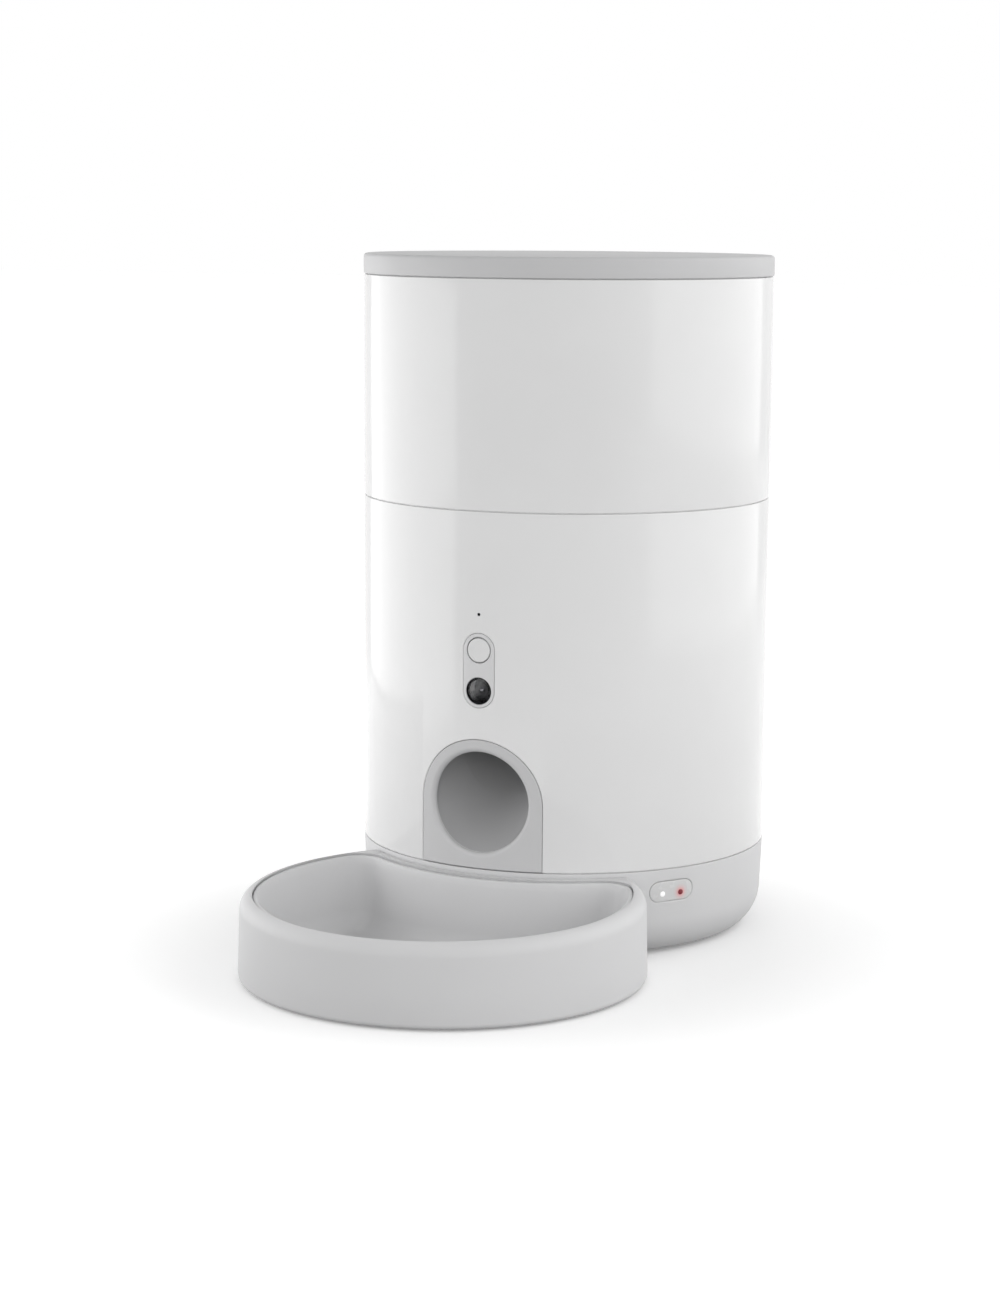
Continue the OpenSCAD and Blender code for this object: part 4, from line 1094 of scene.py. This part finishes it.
class FEEDER_OT_camera_eye(bpy.types.Operator):
    """Model the camera's bezel, dome, barrel rings and lens element"""
    bl_idname = "feeder.model_camera_eye"
    bl_label = "Camera eye"

    def execute(self, context):
        bezel = self.ring("eye_bezel", [
            (1.4, 9.2, 0), (LENS_R, 9.2, 0.2), (LENS_R, 0, 0.15), (6.0, 0.1, 0.05), (5.95, 2.1, 0),
            (5.1, 2.3, 0.1), (4.7, 3.0, 0.1), (4.2, 3.2, 0.1), (3.6, 3.8, 0.1), (1.4, 4.0, 0.1)], 96)
        settle(bezel, "stand", "black_matte", "eye_black", "camera_bezel")
        centre = 1.1 + math.sqrt(DOME_R ** 2 - DOME_HALF ** 2)
        steps = 14
        arc = []
        for k in range(steps, -1, -1):
            r = DOME_HALF * k / steps
            arc.append((r, centre - math.sqrt(DOME_R ** 2 - r ** 2), 0))
        dome = self.ring("eye_dome", [(0, 2.0, 0), (DOME_HALF, 2.0, 0.1), *arc], 96)
        settle(dome, "stand", "black_gloss", "dome_glass", "camera_lens", angle=40)
        element = self.ring("eye_element", [
            (0, 4.7, 0), (1.35, 4.7, 0.1), (1.35, 3.7, 0.1), (1.2, 3.4, 0), (0.9, 3.1, 0), (0.6, 2.9, 0),
            (0.3, 2.8, 0), (0, 2.78, 0)], 64)
        settle(element, "stand", "black_gloss", "lens_glass", angle=40)
        return {"FINISHED"}

    @staticmethod
    def ring(name, corners, steps):
        """A piece of the eye from its corners (radius, depth behind the bezel's face, rounding)."""
        section = [(r, EYE_Y - depth, size) for r, depth, size in corners]
        return spun(name, section, (0, 0, LENS_Z), forward=True, steps=steps)


class FEEDER_OT_base(bpy.types.Operator):
    """Model the base with its battery bay, slots, window opening and recesses"""
    bl_idname = "feeder.model_base"
    bl_label = "Base"

    def execute(self, context):
        sizes = context.scene.feeder_sizes
        seam = sizes.seam_round / MM
        edge = sizes.panel_round / MM
        through = 9
        under = base_foot(0, BASE_BOTTOM)
        base = spun("base", [
            (0, BASE_BOTTOM, 0), (*under[0][:2], 0.6), *under[1:], (BODY_R, BASE_TOP, seam),
            (LIP_R, BASE_TOP, 0), (LIP_R, LIP_TOP, 0.4), (LIP_IN, LIP_TOP, 0.4), (LIP_IN, LIP_ROOT, 0),
            (base_radius(LIP_ROOT) - WALL, LIP_ROOT, 0), *reversed(base_foot(WALL, BASE_FLOOR)),
            (0, BASE_FLOOR, 0)])
        bay_low = (-BAY_X - BAY_LIP, BAY_Y[0] - BAY_LIP)
        bay_high = (BAY_X + BAY_LIP, BAY_Y[1] + BAY_LIP)
        bay = block("bay_walls", (*bay_low, BASE_FLOOR - 0.5), (*bay_high, BAY_TOP), 0.4)
        combine(base, bay, "UNION")
        cuts = [
            flared_cut("window_cut", window_outline, WINDOW_HALF, WINDOW_Z, edge, through, FIT, True,
                       WINDOW_TURN),
            flared_cut("inlet_cut", lambda half: oblong(half, INLET_REACH, upright=False), INLET_HALF,
                       INLET_Z, edge, through, FIT, True, 180),
            block("bay_cut", (-BAY_X, BAY_Y[0], BASE_BOTTOM - 2), (BAY_X, BAY_Y[1], BAY_TOP - 1)),
            block("door_cut", (*bay_low, BASE_BOTTOM - 1), (*bay_high, BASE_BOTTOM + DOOR_T)),
        ]
        for side in (-1, 1):
            cuts.append(tab_block("tab_cut", side, SLIP, -BODY_R - 3, -BODY_R + 12, 0.3))
        for angle in BOSS_ANGLES:
            recess = spun("screw_recess", [
                (0, BASE_BOTTOM - 2, 0), (3.9, BASE_BOTTOM - 0.5, 0), (RECESS_R, BASE_BOTTOM + 0.3, 0),
                (RECESS_R, RECESS_TOP, 0), (0, RECESS_TOP, 0)], steps=48)
            cuts.append(moved(recess, (BOSS_RING, 0, 0), angle))
        for cut in cuts:
            combine(base, cut, "DIFFERENCE")
        settle(base, "stand", "grey_shell", "satin_grey", "base_shell")
        return {"FINISHED"}


class FEEDER_OT_indicator(bpy.types.Operator):
    """Model the indicator window and its two lit light guides"""
    bl_idname = "feeder.model_indicator"
    bl_label = "Indicator window"

    def execute(self, context):
        edge = context.scene.feeder_sizes.panel_round / MM
        window = surface_plate("indicator_window", window_outline, WINDOW_Z, WINDOW_HALF, edge, 3.95,
                               INSERT_SUNK, steps=6, taper=True, turned=WINDOW_TURN)
        settle(window, "stand", "window_clear", "window_milk", "led_window")
        self.guide("white_light", -LIGHT_X, "led_white", "white_guide", "white_led")
        self.guide("red_light", LIGHT_X, "led_red", "red_guide", "red_led")
        return {"FINISHED"}

    @staticmethod
    def guide(name, x, slot, look, node):
        """A round light guide whose domed end stands just proud of the window."""
        face = base_radius(LIGHT_Z) + 0.2
        guide = spun(name, [
            (0, face - LIGHT_BACK, 0), (LIGHT_R, face - LIGHT_BACK, 0), (LIGHT_R, face - 0.5, 0),
            (LIGHT_R * 0.92, face - 0.22, 0), (LIGHT_R * 0.7, face - 0.07, 0), (LIGHT_R * 0.4, face, 0),
            (0, face + 0.03, 0)], (x, 0, LIGHT_Z), forward=True, steps=40)
        moved(guide, turned=WINDOW_TURN)
        settle(guide, "stand", slot, look, node, angle=45)


class FEEDER_OT_feet(bpy.types.Operator):
    """Model the rubber feet of the base and the bowl, with grip rings"""
    bl_idname = "feeder.model_feet"
    bl_label = "Rubber feet"

    def execute(self, context):
        low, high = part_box("base_feet")
        x = high.x / MM - BASE_FOOT_R
        y = (high.y - low.y) / 2 / MM - BASE_FOOT_R
        places = [(sx * x, sy * y) for sx in (-1, 1) for sy in (-1, 1)]
        self.feet("base_foot_pads", BASE_FOOT_R, BASE_FOOT_H, places, "stand", "base_feet")
        places = [(BOWL_FOOT_RING * math.cos(a), BOWL_FOOT_RING * math.sin(a) - BOWL_OFFSET)
                  for a in map(math.radians, (30, 150, 270))]
        self.feet("bowl_foot_pads", BOWL_FOOT_R, BOWL_FOOT_H, places, "bowl", "bowl_feet")
        return {"FINISHED"}

    @staticmethod
    def feet(name, r, height, places, body, node):
        """Copies of one foot, as one piece."""
        groove = 0.35
        corners = [(0, 0, 0)]
        for k in (1, 2, 3):
            away = r * k / 4
            corners += [(away - 0.5, 0, 0), (away - 0.3, groove, 0), (away + 0.3, groove, 0),
                        (away + 0.5, 0, 0)]
        corners += [(r, 0, min(0.8, r / 8)), (r, height, 0.2), (0, height, 0)]
        foot = spun("foot", corners, steps=64)
        pads = spread(name, foot, [((x, y, 0), 0) for x, y in places])
        settle(pads, body, "foot_rubber", "foot_rubber", node)


def bowl_row(front, back, corner, z):
    """One level of the bowl: a round front, a round hollow along the base and two corners."""
    to_axis = back + corner
    to_bowl = front - corner
    away = (to_axis ** 2 - to_bowl ** 2 + BOWL_OFFSET ** 2) / (2 * BOWL_OFFSET)
    side = math.sqrt(to_axis ** 2 - away ** 2)
    start = math.atan2(BOWL_OFFSET - away, side)
    end = math.pi - math.atan2(away, side)
    half = []
    for k in range(72):
        a = -math.pi / 2 + (start + math.pi / 2) * k / 72
        half.append((front * math.cos(a), front * math.sin(a) - BOWL_OFFSET))
    for k in range(28):
        a = start + (end - start) * k / 28
        half.append((side + corner * math.cos(a), corner * math.sin(a) - away))
    first = math.atan2(side, away)
    for k in range(40):
        a = first * (1 - k / 40)
        half.append((back * math.sin(a), -back * math.cos(a)))
    mirror = [(-x, y) for x, y in half[:0:-1]]
    slope = BOWL_RISE / (2 * BOWL_R) * z / BOWL_H
    foremost = -BOWL_OFFSET - BOWL_R
    return [(x, y, z + slope * (y - foremost)) for x, y in half + [(0, -back)] + mirror]


class FEEDER_OT_bowl(bpy.types.Operator):
    """Model the bowl with its rounded rim, set-in liner and docking tabs"""
    bl_idname = "feeder.model_bowl"
    bl_label = "Bowl"

    def execute(self, context):
        sizes = context.scene.feeder_sizes
        horn = sizes.horn_round / MM
        wide = sizes.groove_w / MM
        deep = sizes.groove_depth / MM
        chamfer = 0.3
        rows = [bowl_row(BOWL_R - 6, BOWL_BACK_R + 4, horn, BOWL_BOTTOM)]
        for inset, up in quarter(BOWL_EDGE, 6):
            rows.append(bowl_row(BOWL_R - inset, BOWL_BACK_R + 0.24 * inset, horn, BOWL_BOTTOM + up))
        shoulder = BOWL_H - RIM_ROUND
        rows.append(bowl_row(BOWL_R - BOWL_LEAN / 2, BOWL_BACK_R, horn, (shoulder + BOWL_BOTTOM) / 2))
        top_turn = math.acos((BOWL_LEAN - LINER_IN + wide + chamfer) / RIM_ROUND)
        for k in range(17):
            t = top_turn * k / 16
            ease = 0.8 * max(0, k - 8) ** 2 / 64
            front = BOWL_R - BOWL_LEAN - RIM_ROUND * (1 - math.cos(t))
            rows.append(bowl_row(front, BOWL_BACK_R + ease, horn, shoulder + RIM_ROUND * math.sin(t)))
        crest = shoulder + RIM_ROUND * math.sin(top_turn)
        low = crest - sizes.liner_drop / MM
        rim = LINER_IN - wide
        hollow = [(rim, crest - 0.12), (rim - chamfer, crest - 0.6), (rim - chamfer, crest - deep),
                  (LINER_IN, crest - deep), (LINER_IN, low - 0.15), (LINER_IN + 0.2, low),
                  (LINER_IN + 1.3, low), (LINER_IN + 1.7, low - 0.2), (LINER_IN + 2, low - 0.7),
                  (LINER_IN + 2.2, BOWL_H - 5), (3.8, 24)]
        hollow += [(5 + inset, BOWL_FLOOR + up) for up, inset in quarter(BOWL_BEND, 12)]
        hollow.append((BOWL_BEND + 6.5, BOWL_FLOOR))
        for inset, z in hollow:
            rows.append(bowl_row(RIM_R - inset, RIM_BACK_R + inset, max(1, RIM_CORNER - inset), z))
        bowl = loft("bowl_shell", rows)
        tabs = [tab_block("bowl_tab", side, 0, -BOWL_BACK_R - 3, -BODY_R + 6, 0.6) for side in (-1, 1)]
        combine(bowl, joined("bowl_tabs", tabs), "UNION")
        settle(bowl, "bowl", "grey_shell", "satin_grey", "food_bowl")
        return {"FINISHED"}


class FEEDER_OT_screws(bpy.types.Operator):
    """Model the cross-recess screws and copy them to their places"""
    bl_idname = "feeder.model_screws"
    bl_label = "Screws"

    def execute(self, context):
        self.screws("deck_cross_screws", "stand", "deck_screws", 10, True)
        self.screws("motor_cross_screws", "stand", "motor_screws", 8, True)
        self.screws("hopper_cross_screws", "hopper", "hopper_screws", 5.5, False)
        self.screws("base_cross_screws", "stand", "base_screws", 52.3, False)
        return {"FINISHED"}

    def screws(self, name, body, node, long, up):
        """The screws of one node: four at the corners of its box, or three for the motor."""
        low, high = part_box(node)
        left = low.x / MM + HEAD_R
        right = high.x / MM - HEAD_R
        near = low.y / MM - AXIS_Y + HEAD_R
        far = high.y / MM - AXIS_Y - HEAD_R
        places = [(x, y) for x in (left, right) for y in (near, far)]
        if node == "motor_screws":
            places = [(left, near), (right, near), (0, far)]
        seat = high.z / MM - HEAD_H if up else low.z / MM + HEAD_H
        screws = spread(name, self.screw(long, seat, up), [((x, y, 0), 0) for x, y in places])
        settle(screws, body, "steel", "plated_steel", node, angle=40)

    @staticmethod
    def screw(long, seat, up):
        """One pan-head screw seated at a height, head up or down."""
        sign = 1 if up else -1
        tip = seat - sign * long
        top = seat + sign * HEAD_H
        screw = spun("screw", [
            (0, tip, 0), (1.0, tip, 0), (SCREW_R, tip + sign * 0.6, 0), (SCREW_R, seat, 0),
            (HEAD_R, seat, 0.15), (HEAD_R, top, 1.2), (0, top, 0)], steps=40)
        low, high = sorted((seat + sign * 0.7, top + sign))
        arms = [block("recess_arm", (-1.9, -0.38, low), (1.9, 0.38, high)) for _ in range(2)]
        cross = combine(arms[0], moved(arms[1], turned=90), "UNION")
        return combine(screw, cross, "DIFFERENCE")


class FEEDER_OT_speaker_grille(bpy.types.Operator):
    """Model the pierced speaker insert at the back"""
    bl_idname = "feeder.model_speaker_grille"
    bl_label = "Speaker grille"

    def execute(self, context):
        edge = context.scene.feeder_sizes.panel_round / MM
        plate = surface_plate("speaker_insert", circle, SPEAKER_Z, SPEAKER_R, edge, 3.4, INSERT_SUNK,
                              turned=180)
        cuts = [self.hole(0, 0)]
        for ring in (1, 2):
            for k in range(6 * ring):
                a = math.pi / 3 / ring * k
                cuts.append(self.hole(SOUND_PITCH * ring * math.cos(a), SOUND_PITCH * ring * math.sin(a)))
        combine(plate, joined("sound_cuts", cuts), "DIFFERENCE")
        settle(plate, "stand", "white_shell", "gloss_white", "speaker_grille")
        return {"FINISHED"}

    @staticmethod
    def hole(across, up):
        """A cutter for one sound hole, at a place on the insert."""
        return flared_cut("sound_cut", lambda r: [(across + x, z) for x, z in circle(r, 28)], 1,
                          SPEAKER_Z + up, 0.3, 6, turned=180)


class FEEDER_OT_inner_parts(bpy.types.Operator):
    """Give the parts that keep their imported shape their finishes"""
    bl_idname = "feeder.finish_inner_parts"
    bl_label = "Inner parts"

    def execute(self, context):
        looks = {
            "gloss_white": ["desiccant_box"],
            "satin_grey": ["battery_door"],
            "inner_plastic": ["dispensing_floor", "portion_baffle", "rotor_hub", "motor_deck",
                              "drive_coupler"],
            "silicone": ["lid_seal", "rotor_vanes"],
            "black_plastic": ["camera_module", "button_switch", "microphone", "drop_sensors",
                              "speaker_driver", "board_chips", "power_inlet"],
            "plated_steel": ["output_shaft", "board_screws", "battery_contacts"],
            "motor_plate": ["motor_can"],
            "cast_case": ["gearbox_case"],
            "board": ["camera_board", "main_board", "led_board"],
            "cell_jacket": ["battery_cells"],
        }
        for look, nodes in looks.items():
            for node in nodes:
                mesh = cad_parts[node].data
                mesh.materials.clear()
                mesh.materials.append(finish(look))
        return {"FINISHED"}


# Stage

class FEEDER_OT_stage(bpy.types.Operator):
    """Set up the floor, the light all round, the lamps and the camera"""
    bl_idname = "feeder.build_stage"
    bl_label = "Stage"

    def execute(self, context):
        stage = context.scene.feeder_stage
        context.scene.view_settings.view_transform = "Standard"
        self.floor(stage)
        self.sky(context.scene, stage)
        self.lamp("left_lamp", stage.left_lamp, -76, 0.62, (1.0, 0.42))
        self.lamp("right_lamp", stage.right_lamp, 115, 1.3, (2.6, 1.9))
        self.lamp("front_lamp", stage.front_lamp, 33, 0.75, (1.2, 0.35), mirrored=False)
        self.camera(context.scene, stage)
        return {"FINISHED"}

    @staticmethod
    def seen_directly(near):
        """1 where the camera, a reflection or a glass looks straight at a surface."""
        path = added(near, "ShaderNodeLightPath", {}).outputs
        mirrored = worked_out("MAXIMUM", path["Is Camera Ray"], path["Is Glossy Ray"])
        return worked_out("MAXIMUM", mirrored, path["Is Transmission Ray"])

    def floor(self, stage):
        """A wide pale floor, lifted where the camera looks at it, and lifted less near the feeder: its
        shadow is real, the darker ring round the feeder is painted shade.
        """
        start_clean()
        bpy.ops.mesh.primitive_plane_add(size=24, location=(0, 0, 0))
        floor = named("floor")
        material, shader, place = new_finish("pale_floor")
        seen = self.seen_directly(shader)
        bounce = shade_of(stage.floor, stage.floor_bounce)
        # Less brightness is added near the feeder than far away: painted shade round the feeder, on top of
        # its real shadow.
        lift = ranged(measured("LENGTH", place), stage.floor_lift, stage.far_lift,
                      stage.lift_start, stage.lift_end)
        wired(shader, {
            "Base Color": blended(seen, [(0.0, bounce), (1.0, stage.floor)]),
            "Roughness": ranged(noise(place, 400, 3.0), 0.85, 0.95),
            "Specular IOR Level": 0.0,
            "Emission Color": (1, 1, 1, 1),
            "Emission Strength": worked_out("MULTIPLY", lift, seen)})
        floor.data.materials.append(material)

    def sky(self, scene, stage):
        """White for the camera, reflections and glass, and dimmer as light."""
        world = bpy.data.worlds.new("white_room")
        world.use_nodes = True
        back = world.node_tree.nodes["Background"]
        place = added(back, "ShaderNodeTexCoord", {}).outputs["Generated"]
        height = added(back, "ShaderNodeSeparateXYZ", {"Vector": place}).outputs["Z"]
        light = ranged(height, stage.sky, stage.zenith, 0.0, 1.0)
        wired(back, {
            "Color": (1, 1, 1, 1),
            "Strength": worked_out("MAXIMUM", light, self.seen_directly(back))})
        scene.world = world

    @staticmethod
    def lamp(name, watts, azimuth, away, size, mirrored=True):
        """A soft rectangular lamp that stands upright beside the feeder, in metres."""
        start_clean()
        a = math.radians(azimuth)
        spot = Vector((away * math.sin(a), AXIS_Y * MM - away * math.cos(a), size[1] / 2 + 0.01))
        aim = Vector((-math.sin(a), math.cos(a), 0)).to_track_quat("-Z", "Y")
        bpy.ops.object.light_add(type="AREA", location=spot, rotation=aim.to_euler())
        lamp = bpy.context.object
        lamp.name = name
        lamp.data.shape = "RECTANGLE"
        lamp.data.size = size[0]
        lamp.data.size_y = size[1]
        lamp.data.energy = watts
        lamp.visible_camera = False
        lamp.visible_glossy = mirrored

    @staticmethod
    def camera(scene, stage):
        """The camera at the view's own angle."""
        start_clean()
        side = stage.camera_round
        spot = Vector((stage.camera_away * math.sin(side),
                       AXIS_Y * MM - stage.camera_away * math.cos(side), stage.camera_up))
        a = side + stage.camera_yaw
        level = math.cos(stage.camera_pitch)
        ahead = Vector((-math.sin(a) * level, math.cos(a) * level, -math.sin(stage.camera_pitch)))
        right = Vector((math.cos(a), math.sin(a), 0))
        up = right.cross(ahead)
        c = math.cos(stage.camera_roll)
        s = math.sin(stage.camera_roll)
        axes = Matrix((right * c + up * s, up * c - right * s, -ahead)).transposed()
        bpy.ops.object.camera_add(location=spot, rotation=axes.to_euler())
        camera = bpy.context.object
        camera.name = "view_camera"
        camera.data.lens = stage.camera_lens
        camera.data.clip_end = 60
        scene.camera = camera


STEPS = (FEEDER_OT_lid, FEEDER_OT_hopper, FEEDER_OT_body, FEEDER_OT_outlet_panel, FEEDER_OT_slide,
         FEEDER_OT_camera_panel, FEEDER_OT_feed_button, FEEDER_OT_camera_eye, FEEDER_OT_base,
         FEEDER_OT_indicator, FEEDER_OT_feet, FEEDER_OT_bowl, FEEDER_OT_screws,
         FEEDER_OT_speaker_grille, FEEDER_OT_inner_parts, FEEDER_OT_stage)


class FEEDER_PT_steps(bpy.types.Panel):
    """Lists the feeder's pieces, sizes and colours"""
    bl_idname = "FEEDER_PT_steps"
    bl_label = "Pet feeder"
    bl_space_type = "VIEW_3D"
    bl_region_type = "UI"
    bl_category = "Feeder"

    def draw(self, context):
        layout = self.layout
        scene = context.scene
        for step in STEPS:
            layout.operator(step.bl_idname)
        for group in (scene.feeder_sizes, scene.feeder_colours, scene.feeder_stage):
            box = layout.box()
            for name in group.__annotations__:
                box.prop(group, name)


CLASSES = (FeederSizes, FeederColours, FeederStage, *STEPS, FEEDER_PT_steps)


def register():
    for item in CLASSES:
        bpy.utils.register_class(item)
    bpy.types.Scene.feeder_sizes = bpy.props.PointerProperty(type=FeederSizes)
    bpy.types.Scene.feeder_colours = bpy.props.PointerProperty(type=FeederColours)
    bpy.types.Scene.feeder_stage = bpy.props.PointerProperty(type=FeederStage)


def unregister():
    del bpy.types.Scene.feeder_stage
    del bpy.types.Scene.feeder_colours
    del bpy.types.Scene.feeder_sizes
    for item in reversed(CLASSES):
        bpy.utils.unregister_class(item)


def main():
    register()
    bpy.ops.feeder.model_lid()
    bpy.ops.feeder.model_hopper()
    bpy.ops.feeder.model_body()
    bpy.ops.feeder.model_outlet_panel()
    bpy.ops.feeder.model_slide()
    bpy.ops.feeder.model_camera_panel()
    bpy.ops.feeder.model_feed_button()
    bpy.ops.feeder.model_camera_eye()
    bpy.ops.feeder.model_base()
    bpy.ops.feeder.model_indicator()
    bpy.ops.feeder.model_feet()
    bpy.ops.feeder.model_bowl()
    bpy.ops.feeder.model_screws()
    bpy.ops.feeder.model_speaker_grille()
    bpy.ops.feeder.finish_inner_parts()
    bpy.ops.feeder.build_stage()


if __name__ == "__main__":
    main()
